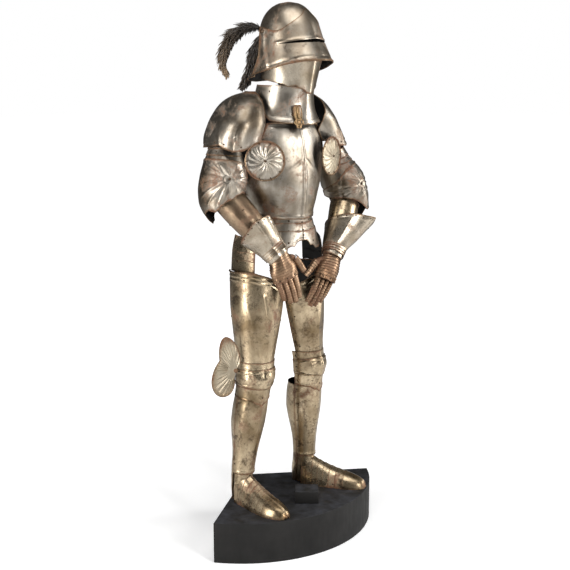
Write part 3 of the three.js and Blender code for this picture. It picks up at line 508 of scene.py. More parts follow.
def form_point(rows, deg, z):
    """Points of the form at angles deg and levels z."""
    deg, z = np.broadcast_arrays(np.asarray(deg, float), np.asarray(z, float))
    s = section(rows, z)
    sine, cosine = np.sin(np.radians(deg)), np.cos(np.radians(deg))
    power = 2 / s[..., 7]
    depth = np.where(cosine > 0, s[..., 4], s[..., 5])
    turn = np.abs((deg + 180) % 360 - 180)
    ridge = s[..., 6] * np.maximum(0, 1 - turn / 50) ** 2
    x = s[..., 1] + s[..., 3] * np.sign(sine) * np.abs(sine) ** power
    y = s[..., 2] - depth * np.sign(cosine) * np.abs(cosine) ** power - ridge
    return np.stack([x, y, z], -1)


def form_normal(rows, deg, z):
    """Outward normals of the form."""
    deg, z = np.broadcast_arrays(np.asarray(deg, float), np.asarray(z, float))
    around = form_point(rows, deg + 1.5, z) - form_point(rows, deg - 1.5, z)
    upper = np.minimum(z + 2, rows[-1][0])
    lower = np.maximum(upper - 4, rows[0][0])
    upward = form_point(rows, deg, upper) - form_point(rows, deg, lower)
    normal = np.cross(around, upward)
    return normal / np.linalg.norm(normal, axis=-1, keepdims=True)


print("chest half width at 1.26 m:", round(float(section(TRUNK, np.array([1260.0]))[0, 3]), 1), "mm")

# %% [markdown]
# ## Where each form stands
# A form is written upright about its own limb. A 4 by 4 matrix then stands it on the plinth, leans it along
# the limb and turns it. The trunk is turned a little to the wearer's right.

# %% Place the forms


def shift(x, y, z):
    matrix = np.eye(4)
    matrix[:3, 3] = x, y, z
    return matrix


def spin(axis, degrees):
    return np.array(Matrix.Rotation(math.radians(degrees), 4, axis))


def along(parent, origin, direction, front):
    """A frame at origin with +Z along direction and -Y near front."""
    z = np.array(direction, float)
    z /= np.linalg.norm(z)
    y = -np.array(front, float)
    y -= z * y.dot(z)
    y /= np.linalg.norm(y)
    matrix = np.eye(4)
    matrix[:3, 0], matrix[:3, 1], matrix[:3, 2], matrix[:3, 3] = np.cross(y, z), y, z, origin
    return parent @ matrix


PLINTH_TOP = 150
FIGURE = shift(0, 0, PLINTH_TOP)
CHEST = FIGURE @ shift(0, -5, 0) @ spin("Z", -7)
PLACES = {}
for name, side in SIDES.items():
    arm, leg = {key: np.array(value, float) for key, value in ARMS[name].items()}, LEGS[name]
    PLACES["upper_arm", name] = along(FIGURE, arm["elbow"], arm["shoulder"] - arm["elbow"], (0, -1, 0))
    PLACES["forearm", name] = along(FIGURE, arm["wrist"], arm["elbow"] - arm["wrist"], (side * 0.5, -1, 0))
    PLACES["hand", name] = along(FIGURE, arm["wrist"], arm["wrist"] - arm["tips"], arm["back"])
    PLACES["thumb", name] = along(PLACES["hand", name], (-side * 56, 8, -36), (side * 0.35, -0.1, 1),
                                  (-side * 0.5, -1, 0))
    PLACES["leg", name] = FIGURE @ shift(*leg["ankle"], 0) @ spin("Z", leg["turn"])
    toe = math.radians(leg["foot"])
    PLACES["foot", name] = along(FIGURE, (*leg["ankle"], 0.3), (math.sin(toe), -math.cos(toe), 0),
                                 (0, 0, 1)) @ shift(0, 0, -58)
print("placed", len(PLACES), "limb frames")
# %% [markdown]
# ## From a form to a sheet of steel
# A plate is a patch between two angles and two edge lines. Its outer skin and its hollow side are the same
# grid, 1.5 mm apart, closed along the edges. A Solidify modifier would give the wall as well, but the grid
# also has to carry the rim and inside values. Every shell's volume is measured, and one that came out
# inside out is turned round.

# %% Shell helpers
WALL = 1.5
# How far the rim value reaches from each lap between lames: there the rim tint is painted shade in the crevice,
# and the rust grows thicker.
LAP_SHADE_AND_RUST_WIDTH = 2.6


def edge_line(edge):
    """An edge given as a level, a table of (angle, level) rows or a function of the angle."""
    if callable(edge):
        return edge
    if np.isscalar(edge):
        return lambda deg: np.full(np.shape(deg), float(edge))
    angles, levels = zip(*edge)
    return lambda deg: np.interp(deg, angles, levels)


def mirrored(half):
    """The same edge on both sides of the front."""
    return [(-a, z) for a, z in reversed(half) if a > 0] + list(half)


def beside(edge, rise, angles):
    """A line that keeps one distance above an edge, or below it where rise is negative."""
    line = edge_line(edge)
    return [(a, float(line(a)) + rise) for a in angles]


def round_back(half):
    """The same edge on both sides of the back."""
    return list(half) + [(360 - a, z) for a, z in reversed(half) if a < 180]


def outward(points, faces):
    """The faces turned so that the closed shell's volume is positive."""
    points = np.asarray(points, float)
    total = 0.0
    for count in (3, 4):
        chosen = np.array([face for face in faces if len(face) == count], int)
        for k in range(1, count - 1) if len(chosen) else ():
            a, b, c = points[chosen[:, 0]], points[chosen[:, k]], points[chosen[:, k + 1]]
            total += np.einsum("ij,ij->i", a, np.cross(b, c)).sum()
    return faces if total > 0 else [face[::-1] for face in faces]


def shell(points, faces, rim=0.0, inside=0.0):
    """A closed shell with its rim and inside values, each one number or one for each point."""
    points = np.asarray(points, float)
    size = len(points)
    return {"points": points, "faces": outward(points, faces), "rim": np.broadcast_to(rim, size),
            "inside": np.broadcast_to(inside, size)}


def spaced(low, high, cell, length):
    """Even steps from low to high, with about one for each cell of the length."""
    return np.linspace(low, high, max(2, int(round(length / cell)) + 1))


def plate(rows, span, edges, place, side=-1, lift=0.0, cell=3.6, wall=WALL, relief=None, opening=None,
          fade=9.0):
    """A closed shell. edges run from low to high; opening(deg, band) is true where the sheet is cut away."""
    lines = [edge_line(edge) for edge in edges]
    ring = abs(span[1] - span[0]) >= 359.9
    middle = [0.5 * (lines[0](a) + lines[-1](a)) for a in np.linspace(*span, 41)]
    run = form_point(rows, np.linspace(*span, 41), np.array(middle).reshape(-1))
    deg = spaced(*span, cell, np.linalg.norm(np.diff(run, axis=0), axis=1).sum())
    if ring:
        deg = deg[:-1]
    bands, z = [], []
    for n, (low, high) in enumerate(zip(lines, lines[1:])):
        steps = spaced(0, 1, cell, np.abs(high(deg) - low(deg)).max())
        for t in steps[:-1] if n < len(lines) - 2 else steps:
            z.append(low(deg) * (1 - t) + high(deg) * t)
            bands.append(n)
    z = np.array(z)
    angles = np.broadcast_to(deg, z.shape)
    base, normal = form_point(rows, angles, z), form_normal(rows, angles, z)
    out = lift + (relief(angles, z) if relief else np.zeros(z.shape))
    grids = [base + normal * (out + extra)[..., None] for extra in (wall, 0.0)]
    count, across = z.shape
    near = np.minimum(z - z[0], z[-1] - z)
    if not ring:
        scale = np.radians(1) * float(section(rows, np.array([z.mean()]))[0, 3])
        near = np.minimum(near, np.minimum(angles - span[0], span[1] - angles) * scale)
    # Each lap between two lames counts as an edge as well: the rim tint there is painted shade along the
    # crevice, and rust gathers there.
    for low, high in zip(lines, lines[1:]):
        if np.max(np.abs(high(deg) - low(deg))) < 1:
            near = np.minimum(near, np.abs(z - low(deg)) * fade / LAP_SHADE_AND_RUST_WIDTH)
    rim = np.clip(1 - near / fade, 0, 1)
    points = np.concatenate([grid.reshape(-1, 3) for grid in grids]) * (-side, 1, 1)
    points = points @ place[:3, :3].T + place[:3, 3]
    cells_across = across if ring else across - 1
    solid = np.ones((count - 1, cells_across), bool)
    if opening:
        cell_mid = np.append(deg, deg[0] + 360)[:cells_across] + 0.5 * abs(deg[1] - deg[0])
        for row in range(count - 1):
            solid[row] = ~opening(cell_mid, bands[row])
    half = count * across
    faces = []
    at = lambda row, column, skin: row * across + column % across + skin * half
    for row in range(count - 1):
        for column in np.flatnonzero(solid[row]):
            a, b, c, d = ((row, column), (row, column + 1), (row + 1, column + 1), (row + 1, column))
            faces.append([at(*corner, 0) for corner in (a, b, c, d)])
            faces.append([at(*corner, 1) for corner in (d, c, b, a)])
            beyond = ((row - 1, column, b, a), (row + 1, column, d, c), (row, column - 1, a, d),
                      (row, column + 1, c, b))
            for r, c_next, first, second in beyond:
                open_side = not 0 <= r < count - 1 or (not ring and not 0 <= c_next < cells_across)
                if open_side or not solid[r, c_next % cells_across]:
                    faces.append([at(*first, 0), at(*second, 0), at(*second, 1), at(*first, 1)])
    used = np.unique(np.concatenate([np.array(face) for face in faces]))
    number = np.full(len(points), -1)
    number[used] = np.arange(len(used))
    faces = [[int(number[v]) for v in face] for face in faces]
    rims = np.concatenate([rim.reshape(-1)] * 2)[used]
    insides = np.concatenate([np.zeros(half), np.ones(half)])[used]
    return shell(points[used], faces, rims, insides)


def ring_quads(rings, count, first=0, loop=False):
    """Quads between rings of count points; loop joins the last ring to the first."""
    faces = []
    for i in range(rings if loop else rings - 1):
        low, high = first + i * count, first + (i + 1) % rings * count
        for k in range(count):
            m = (k + 1) % count
            faces.append([low + k, low + m, high + m, high + k])
    return faces


def fan(centre, ring):
    """Triangles from a centre point to a ring of points."""
    return [[centre, a, b] for a, b in zip(ring, ring[1:] + ring[:1])]


print("plate helper ready, wall", WALL, "mm")

# %% [markdown]
# ## Rolled edges and other rods
# A cut edge of sheet steel would be sharp and weak, so the armourer rolls it over a wire. Here the roll is a
# closed round rod along the edge, sunk half into the plate. A bevelled curve would do the same, but a mesh
# rod joins the plate's own mesh, and so moves with it.

# %% Rods and edge rolls


def rod(path, radius, sides=8, closed=False, flat=1.0, up=None):
    """A closed rod along a path in millimetres; radius may be a list of one for each point."""
    path = np.asarray(path, float)
    count = len(path)
    tangent = np.roll(path, -1, 0) - np.roll(path, 1, 0) if closed else np.gradient(path, axis=0)
    tangent /= np.linalg.norm(tangent, axis=1, keepdims=True)
    side_way = np.cross(tangent[0], up if up is not None else (0.3, 0.5, 0.8))
    frames = []
    for direction in tangent:
        side_way = side_way - direction * side_way.dot(direction)
        side_way /= np.linalg.norm(side_way)
        frames.append((side_way, np.cross(direction, side_way)))
    turns = np.linspace(0, 2 * math.pi, sides, endpoint=False)
    radii = np.broadcast_to(radius, count)
    points = np.array([path[i] + radii[i] * (math.cos(t) * u + flat * math.sin(t) * v)
                       for i, (u, v) in enumerate(frames) for t in turns])
    faces = ring_quads(count, sides, loop=closed)
    if not closed:
        size = count * sides
        points = np.vstack([points, path[0], path[-1]])
        faces += [face[::-1] for face in fan(size, list(range(sides)))]
        faces += fan(size + 1, list(range(size - sides, size)))
    return shell(points, faces, 1.0)


def to_world(points, place, side=-1):
    """Points of a limb's own frame in the suit's frame; side 1 mirrors them for the left limb."""
    return np.asarray(points, float) * (-side, 1, 1) @ place[:3, :3].T + place[:3, 3]


def on_form(rows, deg, z, place, side=-1, out=0.0):
    """World points on a form, pushed out along its normal."""
    return to_world(form_point(rows, deg, z) + form_normal(rows, deg, z) * np.reshape(out, (-1, 1)), place,
                    side)


def roll(rows, span, edge, place, side=-1, lift=0.0, radius=2.0, relief=None, step=2.5, sunk=0.5):
    """A rolled edge along one edge line of a plate."""
    deg = np.linspace(*span, max(3, int(abs(span[1] - span[0]) / step) + 1))
    closed = abs(span[1] - span[0]) >= 359.9
    deg = deg[:-1] if closed else deg
    z = edge_line(edge)(deg)
    out = lift + WALL / 2 + radius * sunk + (relief(deg, z) if relief else 0)
    return rod(on_form(rows, deg, z, place, side, np.broadcast_to(out, deg.shape)), radius, 7, closed)


def side_roll(rows, deg, levels, place, side=-1, lift=0.0, radius=2.0, count=24, relief=None):
    """A rolled edge that runs up a plate at one angle."""
    z = np.linspace(*levels, count)
    deg = np.full(count, float(deg))
    out = lift + WALL / 2 + radius * 0.5 + (relief(deg, z) if relief else 0)
    return rod(on_form(rows, deg, z, place, side, np.broadcast_to(out, deg.shape)), radius, 7)


def end_rolls(rows, span, edges, place, side, lift=0.0, radius=2.0):
    """Rolled edges up both ends of a plate, from its lower edge line to its upper one."""
    low, high = (edge_line(edge) for edge in edges)
    return [side_roll(rows, a, (float(low(a)), float(high(a))), place, side, lift=lift, radius=radius)
            for a in span]


print("rods and rolls ready")

# %% [markdown]
# ## Fluting
# Late Gothic plates are creased and fluted, which stiffens them and throws long highlights. A crease is a
# line on the plate, given as angle and level, with a smooth ridge on it. It lifts both skins together, so
# the sheet stays one thickness, which a bump map wouldn't show at the outline.

# %% Creases


def crease(line, height, width, scale):
    """Relief of one line of (angle, level) points; scale is the millimetres a degree covers.

    height may be a pair, for a crease that dies away along the line."""
    line = np.array(line, float) * (scale, 1)
    first, last = height if isinstance(height, tuple) else (height, height)
    runs = np.linalg.norm(np.diff(line, axis=0), axis=1)
    before = np.concatenate([[0], np.cumsum(runs)]) / runs.sum()

    def relief(deg, z):
        spot = np.stack([np.asarray(deg, float) * scale, np.asarray(z, float)], -1)
        nearest, share = np.full(spot.shape[:-1], 1e9), np.zeros(spot.shape[:-1])
        for n, (start, end) in enumerate(zip(line, line[1:])):
            way = end - start
            t = np.clip(((spot - start) @ way) / way.dot(way), 0, 1)
            gap = np.linalg.norm(spot - start - t[..., None] * way, axis=-1)
            share = np.where(gap < nearest, before[n] + t * (before[n + 1] - before[n]), share)
            nearest = np.minimum(nearest, gap)
        return (first + (last - first) * share) * np.exp(-((nearest / width) ** 2))

    return relief


def together(*parts):
    """The sum of several reliefs."""
    return lambda deg, z: sum(part(deg, z) for part in parts)


def scallops(edge, bites, depth, span):
    """An edge line cut in a row of round bites with a point between each two."""
    line = edge_line(edge)

    def cut(deg):
        t = np.clip((np.asarray(deg, float) - span[0]) / (span[1] - span[0]), 0, 1)
        return line(deg) + depth * np.abs(np.sin(math.pi * bites * t))

    return cut


def lapped(edges, rise):
    """Relief of lames that lap downwards: each stands proud at its lower edge."""
    lines = [edge_line(edge) for edge in edges]

    def relief(deg, z):
        out = np.zeros(np.shape(z))
        for low, high in zip(lines, lines[1:]):
            bottom, top = low(deg), high(deg)
            t = (z - bottom) / (top - bottom)
            out = np.where((t >= 0) & (t < 1), rise * (1 - t), out)
        return out

    return relief


def lame_edges(edges, gap=0.25):
    """The edge lines with a hair-thin band at each lap, so that the step between two lames stays sharp."""
    lines = [edge_line(edge) for edge in edges]
    bands = [lines[0]]
    for line in lines[1:-1]:
        bands += [lambda deg, line=line: line(deg) - gap, lambda deg, line=line: line(deg) + gap]
    return bands + [lines[-1]]


print("creases, scallops and lames ready")

# %% [markdown]
# ## Finished pieces
# Each plate with its rolls becomes one object at the origin. It stands for the plain solid of the same
# place and rides on the same body.

# %% Make a piece
MM = 0.001
RIVETS = {"suit": [], "visor": []}
made = {}


def edged(rolls, material="brown_edge"):
    """Rolled edges, each with a darker metal of its own."""
    return [(part, material) for part in rolls]


def finish_piece(name, shells, material, stands_for=(), body="suit", smooth=38):
    """One object from closed shells in millimetres; shells may be (shell, material) pairs."""
    parts = [part if isinstance(part, tuple) else (part, material) for part in shells]
    names = list(dict.fromkeys([material] + [label for _, label in parts]))
    points, faces, rim, inside, index = [], [], [], [], []
    offset = 0
    for part, label in parts:
        points.append(part["points"])
        faces += [[v + offset for v in face] for face in part["faces"]]
        rim.append(part["rim"])
        inside.append(part["inside"])
        index += [names.index(label)] * len(part["faces"])
        offset += len(part["points"])
    mesh = bpy.data.meshes.new(name)
    mesh.from_pydata((np.concatenate(points) * MM).tolist(), [], faces)
    for label, values in (("rim", rim), ("inside", inside)):
        layer = mesh.attributes.new(label, "FLOAT", "POINT")
        layer.data.foreach_set("value", np.concatenate(values).astype(np.float32))
    for label in names:
        mesh.materials.append(MATERIALS[label])
    mesh.polygons.foreach_set("material_index", index)
    mesh.shade_smooth()
    mesh.set_sharp_from_angle(angle=math.radians(smooth))
    mesh.update()
    piece = bpy.data.objects.new(name, mesh)
    bpy.context.scene.collection.objects.link(piece)
    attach(piece, body)
    if stands_for:
        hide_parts(*stands_for)
    made[name] = sum(len(face) - 2 for face in faces)
    return piece


def rivet(rows, places, place, side=-1, out=WALL, size=2.6, body="suit"):
    """Notes rivets at (angle, level) places; one tree makes them all later."""
    for deg, z in places:
        where = on_form(rows, [deg], [z], place, side, out)[0]
        facing = (form_normal(rows, [deg], [z])[0] * (-side, 1, 1)) @ place[:3, :3].T
        RIVETS[body].append((where, facing, size))


print("piece helper ready")
# %% [markdown]
# ## Plinth
# The plinth is a low black box, a slice of a circle, painted matt, with a small block on it between the feet.
# Both are single outlines pushed up and eased along every edge, so that the edges catch a thin line of light.

# %% Plinth and block


def eased_block(outline, low, high, ease, rings=3):
    """A closed upright solid with rounded top and bottom edges, from a convex outline."""
    outline = np.asarray(outline, float)
    centre = outline.mean(0)
    ahead = np.roll(outline, -1, 0) - outline
    normal = np.stack([ahead[:, 1], -ahead[:, 0]], -1)
    normal /= np.linalg.norm(normal, axis=1, keepdims=True)
    corner = normal + np.roll(normal, 1, 0)
    corner /= np.maximum(0.6, (corner * normal).sum(1))[:, None]
    turns = np.linspace(0, math.pi / 2, rings + 1)
    levels = [(low + ease * (1 - math.sin(t)), ease * (1 - math.cos(t))) for t in turns[::-1]]
    levels += [(high - ease * (1 - math.sin(t)), ease * (1 - math.cos(t))) for t in turns]
    count = len(outline)
    points = [(*(outline[i] - corner[i] * inset), z) for z, inset in levels for i in range(count)]
    size = len(points)
    points += [(*centre, low), (*centre, high)]
    faces = ring_quads(len(levels), count)
    faces += [face[::-1] for face in fan(size, list(range(count)))]
    faces += fan(size + 1, list(range(size - count, size)))
    return shell(points, faces)


PLINTH = {"radius": 487, "half_angle": 55, "corner": (15, 198)}
arc = np.radians(-90 + np.linspace(-PLINTH["half_angle"], PLINTH["half_angle"], 97))
rim_line = np.stack([np.cos(arc), np.sin(arc)], -1) * PLINTH["radius"] + PLINTH["corner"]
plinth_outline = np.vstack([[PLINTH["corner"]], rim_line])
plinth_box = eased_block(plinth_outline, 0, PLINTH_TOP, 2.2)
finish_piece("plinth_body", [plinth_box], "plinth_paint", ["plinth"])
REST = {"turn": -43, "centre": (8, -152), "half_width": 43, "half_depth": 40, "height": 45.3}
turned = Matrix.Rotation(math.radians(REST["turn"]), 2)
corners = []
for x, y in ((-1, -1), (1, -1), (1, 1), (-1, 1)):
    corner = Vector((x * REST["half_width"], y * REST["half_depth"]))
    corners.append(tuple(turned @ corner + Vector(REST["centre"])))
rest_block = eased_block(corners, PLINTH_TOP, PLINTH_TOP + REST["height"], 1.5)
finish_piece("plinth_rest", [rest_block], "plinth_paint", ["plinth_block"])
print("plinth", made["plinth_body"], "triangles")

# %% [markdown]
# ## Sallet
# A sallet's bowl is raised from one sheet and drawn out into a short tail behind. It is one ring of the head
# form here, cut low at the back and high over the face, with a roll round the lower edge.

# %% Skull of the helmet
SKULL_LOW = round_back([(0, 1748), (30, 1718), (60, 1688), (88, 1678), (98, 1655), (105, 1600), (109, 1550),
                        (150, 1536),
                        (180, 1530)])
SKULL_MIDDLE = round_back([(0, 1757), (30, 1738), (60, 1715), (90, 1700), (180, 1700)])
skull_relief = crease([(180, 1540), (180, 1790)], 1.6, 7, 1.9)
skull = plate(HEAD, (0, 360), [SKULL_LOW, SKULL_MIDDLE, 1766, 1801.5], FIGURE, cell=4.6, relief=skull_relief)
tail_roll = roll(HEAD, (109, 251), SKULL_LOW, FIGURE, radius=2.6)
finish_piece("helmet_skull", [skull, *edged([tail_roll])], "helmet_steel",
             ["sallet_skull"])
rivet(HEAD, [(a, 1712) for a in (128, 150, 180, 210, 232)], FIGURE, size=2.4)
print("skull", made["helmet_skull"], "triangles")

# %% [markdown]
# ## Visor
# The visor covers the face and turns on a rivet at each temple. Its top edge rises to a point over the brow,
# the sight is a long thin slit, the lower edge flares out and is rolled, and a scrolled ridge stiffens each
# arm. The slit is really cut: the cells of one band are left out and closed round with steel.

# %% Visor
VISOR_REAR = 101
VISOR_TOP = mirrored([(0, 1774), (8, 1768), (15, 1757), (30, 1741), (45, 1725), (60, 1707), (68, 1702),
                      (80, 1703),
                      (92, 1709), (VISOR_REAR, 1717)])
VISOR_LOW = mirrored([(0, 1604), (30, 1603), (60, 1590), (90, 1568), (VISOR_REAR, 1556)])
SLIT_LOW = mirrored([(0, 1663), (30, 1661), (60, 1658), (68, 1657), (VISOR_REAR, 1656)])
SLIT_HIGH = mirrored([(0, 1674), (30, 1669.5), (60, 1661.5), (68, 1658.5), (VISOR_REAR, 1657.5)])
SLIT_END = 68
VISOR_LIFT = 5.6
VISOR_SPAN = (-VISOR_REAR, VISOR_REAR)
ARM_RIDGE = [(97, 1712), (95, 1684), (96, 1650), (92, 1612), (86, 1580)]
visor_relief = together(
    crease([(-a, z) for a, z in ARM_RIDGE], 3.4, 4.2, 1.8),
    crease(ARM_RIDGE, 3.4, 4.2, 1.8),
    crease(beside(SLIT_HIGH, 4, range(-72, 73, 12)), 2.2, 4.0, 1.8),
    crease(beside(VISOR_LOW, 12, range(-100, 101, 10)), -1.2, 4.0, 1.9))
visor = plate(VISOR, VISOR_SPAN, [VISOR_LOW, SLIT_LOW, SLIT_HIGH, VISOR_TOP], FIGURE, lift=VISOR_LIFT,
              cell=3.3,
              relief=visor_relief, opening=lambda deg, band: (np.abs(deg) < SLIT_END) & (band == 1))
visor_rolls = [
    roll(VISOR, VISOR_SPAN, VISOR_LOW, FIGURE, lift=VISOR_LIFT, radius=2.8, relief=visor_relief),
    roll(VISOR, VISOR_SPAN, VISOR_TOP, FIGURE, lift=5.0, radius=1.3, relief=visor_relief)]
visor_rolls += [side_roll(VISOR, a, (1556, 1717), FIGURE, lift=VISOR_LIFT, radius=1.8, relief=visor_relief)
                for a in VISOR_SPAN]
finish_piece("helmet_visor", [visor, *edged(visor_rolls)], "helmet_steel",
             ["sallet_visor"], body="visor")
rivet(VISOR, [(-96.5, 1702), (96.5, 1702)], FIGURE, out=7.5, size=7.5, body="visor")
rivet(VISOR, [(a, 1580) for a in (-94, 94)], FIGURE, out=7.5, size=2.4, body="visor")
print("visor", made["helmet_visor"], "triangles")

# %% [markdown]
# ## Bevor
# The bevor guards the chin and throat. A keeled chin plate with a cut lower edge sits outside a throat plate
# like a high collar, and a brass hasp holds it down to the breastplate.

# %% Chin and throat plates
CHIN_LOW = mirrored([(0, 1493), (7, 1494), (12, 1501), (18, 1509), (24, 1512), (30, 1521), (38, 1519),
                     (45, 1516), (52, 1524),
                     (60, 1528), (80, 1536), (110, 1545)])
CHIN_TOP = mirrored([(0, 1606), (60, 1600), (110, 1588)])
chin = plate(CHIN, (-110, 110), [CHIN_LOW, CHIN_TOP], FIGURE, lift=3.6, cell=4.2)
chin_rolls = [roll(CHIN, (-110, 110), CHIN_LOW, FIGURE, lift=3.4, radius=1.2, step=1.5),
              roll(CHIN, (-110, 110), CHIN_TOP, FIGURE, lift=3.0, radius=1.8)]
finish_piece("chin_plate", [chin, *edged(chin_rolls)], "cuff_steel", ["bevor_chin"])
THROAT_LOW = mirrored([(0, 1388), (6, 1386), (20, 1391), (35, 1393), (60, 1400), (75, 1428), (100, 1446),
                       (121, 1450)])
THROAT_TOP = mirrored([(0, 1512), (50, 1520), (121, 1522)])
throat_relief = crease(beside(THROAT_LOW, 9, range(-120, 121, 12)), 1.2, 3.0, 2.0)
throat = plate(NECK, (-121, 121), [THROAT_LOW, THROAT_TOP], FIGURE, cell=4.6, relief=throat_relief)
throat_roll = roll(NECK, (-121, 121), THROAT_LOW, FIGURE, radius=1.6)
finish_piece("throat_plate", [throat, *edged([throat_roll])], "bright_steel",
             ["bevor_throat"])
rivet(NECK, [(a, 1500) for a in (-100, -74, 74, 100)], FIGURE, size=2.4)
print("bevor", made["chin_plate"] + made["throat_plate"], "triangles")
# %% [markdown]
# ## Brass hasp
# A long hasp joins the bevor to the breastplate: a strap with two long loops, an oval rosette below them and
# a loose ring. It is bent out of rods on a thin strap, because that is how such a fitting is made.

# %% Hasp
HASP = FIGURE @ shift(-46, -158, 1416) @ spin("X", -10) @ spin("Z", -24)


def oval(width, height, centre, depth, count=28):
    """A loop with squared ends, upright on the face of the hasp."""
    turns = np.linspace(0, 2 * math.pi, count, endpoint=False)
    x = np.sign(np.cos(turns)) * np.abs(np.cos(turns)) ** 0.7 * width / 2 + centre[0]
    z = np.sign(np.sin(turns)) * np.abs(np.sin(turns)) ** 0.7 * height / 2 + centre[1]
    return to_world(np.stack([x, np.full(count, depth), z], -1), HASP)


strap = rod(to_world([(0, 1.5, z) for z in np.linspace(-40, 39, 12)], HASP), 12.5, 12, flat=0.18,
            up=(0, 1, 0))
loops = [rod(oval(12, 46, (x, 14), -1.4), 2.6, 8, closed=True) for x in (-7, 7)]
rosette = [rod(oval(30, 19, (0, -21), -1.6), 2.3, 8, closed=True),
           rod(to_world([(0, 0, -20), (0, -3.4, -20)], HASP), [8.4, 4.2], 14)]
ring = rod(oval(15, 15, (0, -33), -2.2), 1.6, 8, closed=True)
finish_piece("neck_hasp", [strap, *loops, *rosette, ring], "old_brass", ["bevor_hasp"])
print("hasp", made["neck_hasp"], "triangles")

# %% [markdown]
# ## Breastplate and backplate
# The breastplate is keeled down the middle and nipped at the waist. Its armholes and neck are rolled thick,
# so that a lance point slides off. A low curved crease rises on each side towards the keel.

# %% Breastplate
ARMHOLE = mirrored([(0, 1390), (20, 1392), (34, 1392), (42, 1388), (50, 1345), (60, 1292), (72, 1256),
                    (90, 1243)])
breast_relief = together(
    crease([(0, 1068), (0, 1388)], 2.4, 5.0, 2.8),
    *[crease([(k * 22, 1228), (k * 16, 1235), (k * 10, 1245), (k * 3, 1264)], (0.4, 2.2), 4.0, 2.8)
      for k in (-1, 1)],
    crease([(a, 1066) for a in range(-90, 91, 15)], 2.2, 4.5, 2.2),
    crease(beside(lambda a: edge_line(ARMHOLE[7:])(abs(a)), -11, range(-90, 91, 5)), -1.0, 4.0, 2.8))
breast = plate(TRUNK, (-90, 90), [1056, ARMHOLE], CHEST, cell=4.0, relief=breast_relief)
breast_rolls = [roll(TRUNK, (-90, 90), ARMHOLE, CHEST, radius=3.6, step=2),
                roll(TRUNK, (-90, 90), 1057.5, CHEST, radius=1.4)]
finish_piece("breastplate_shell",
             [breast, (breast_rolls[0], "bright_steel"), (breast_rolls[1], "brown_edge")], "bright_steel",
             ["breastplate"])
rivet(TRUNK, [(-84, 1228), (84, 1228), (-84, 1090), (84, 1090)], CHEST, size=3.2)
print("breastplate", made["breastplate_shell"], "triangles")

# %% Backplate
BACK_TOP = round_back([(90.2, 1243), (106, 1252), (118, 1278), (128, 1318), (138, 1366), (148, 1400),
                       (180, 1428)])
back_relief = together(
    crease([(180, 1080), (180, 1400)], -3.0, 9, 2.6),
    *[crease([(180 + k * 5, 1070), (180 + k * 8, 1180), (180 + k * 22, 1370)], (2.2, 0.8), 4.5, 2.6)
      for k in (-1, 1)],
    *[crease([(180 + k * 11, 1070), (180 + k * 18, 1180), (180 + k * 40, 1340)], (2.2, 0.8), 4.5, 2.6)
      for k in (-1, 1)])
back = plate(TRUNK, (90.2, 269.8), [1056, BACK_TOP], CHEST, cell=5.2, relief=back_relief)
back_roll = roll(TRUNK, (90.2, 269.8), BACK_TOP, CHEST, radius=3.0, step=3)
finish_piece("backplate_shell", [back, back_roll], "bright_steel", ["backplate"])
rivet(TRUNK, [(96, 1228), (264, 1228), (96, 1090), (264, 1090)], CHEST, size=3.2)
print("backplate", made["backplate_shell"], "triangles")

# %% [markdown]
# ## Hip lames and tassets
# The skirt is three lames that telescope, each with a cusped lower edge, and a plain set of lames behind. A
# tasset hangs over each thigh. The lowest front lame rises in an arch so that the wearer can sit and ride.

# %% Fauld and culet
FAULDS = [
    ("fauld_1", [(0, 1028), (4, 1030), (11, 1037), (20, 1034), (28, 1027), (40, 1025), (52, 1018),
                 (66, 1022), (88, 1022)], 1062, -5),
    ("fauld_2", [(0, 1002), (5, 1008), (13, 1006), (20, 998), (30, 1000), (42, 990), (60, 988), (88, 986)],
     1044, -2.5),
    ("fauld_3", [(0, 983), (6, 981), (10, 974), (13, 961), (17, 963), (22, 956), (26, 947), (40, 945),
                 (60, 950), (88, 952)], 1016, 0)]
for node, low, high, lift in FAULDS:
    edge = mirrored(low)
    border = crease(beside(edge, 7, range(-88, 89, 4)), -0.8, 2.4, 2.2)
    lame = plate(TRUNK, (-88, 88), [edge, high], CHEST, lift=lift, cell=3.2, relief=border)
    lip = roll(TRUNK, (-88, 88), edge, CHEST, lift=lift - 0.3, radius=1.1, step=1.6)
    finish_piece(node + "_lame", [lame, (lip, "brown_edge")], "bright_steel", [node])
    rivet(TRUNK, beside(edge, 17, (-80, -46, -21, 0, 21, 46, 80)), CHEST, out=lift + WALL, size=2.8)
culet_levels = [952, 988, 1024, 1064]
culet = plate(TRUNK, (90, 270), lame_edges(culet_levels), CHEST, lift=-5, cell=5.4,
              relief=lapped(culet_levels, 2.4))
finish_piece("culet_lames",
             [culet, (roll(TRUNK, (90, 270), 952, CHEST, lift=-3.4, radius=1.4, step=4), "brown_edge")],
             "bright_steel", ["culet"])
rivet(TRUNK, [(a, z) for a in (98, 140, 220, 262) for z in (978, 1014, 1052)], CHEST, out=-2.8, size=2.6)
print("skirt", sum(made[n + "_lame"] for n, *_ in FAULDS) + made["culet_lames"], "triangles")

# %% Tassets
for name, side in SIDES.items():
    inner = -63 if side < 0 else -70
    low = 862 if side < 0 else 872
    cut = scallops(low - 3, 2, 3, (-112, inner))
    laps = [cut, scallops(903, 2, 6, (-112, inner)), scallops(932, 2, 6, (-112, inner)),
            [(-112, 990), (-84, 990), (-58, 955)]]
    tasset = plate(HIP, (-112, inner), lame_edges(laps), CHEST, side, cell=2.6, relief=lapped(laps, 2.0))
    lips = [roll(HIP, (-112, inner), edge, CHEST, side, lift=1.6, radius=1.0, step=1.5) for edge in laps[:3]]
    ends = [side_roll(HIP, a, (low + 1, top), CHEST, side, lift=0.4, radius=1.4)
            for a, top in ((-112, 989), (inner, 960))]
    finish_piece(f"tasset_{name}_lames", [tasset, *edged(lips + ends)], "leg_steel",
                 [f"tasset_{name}"])
    rivet(HIP, [(-92.5, 934), (-92.5, 900), (-76, 942), (-106, 962)], CHEST, side, out=WALL + 1.4, size=3.0)
print("tassets", made["tasset_right_lames"], "triangles each")
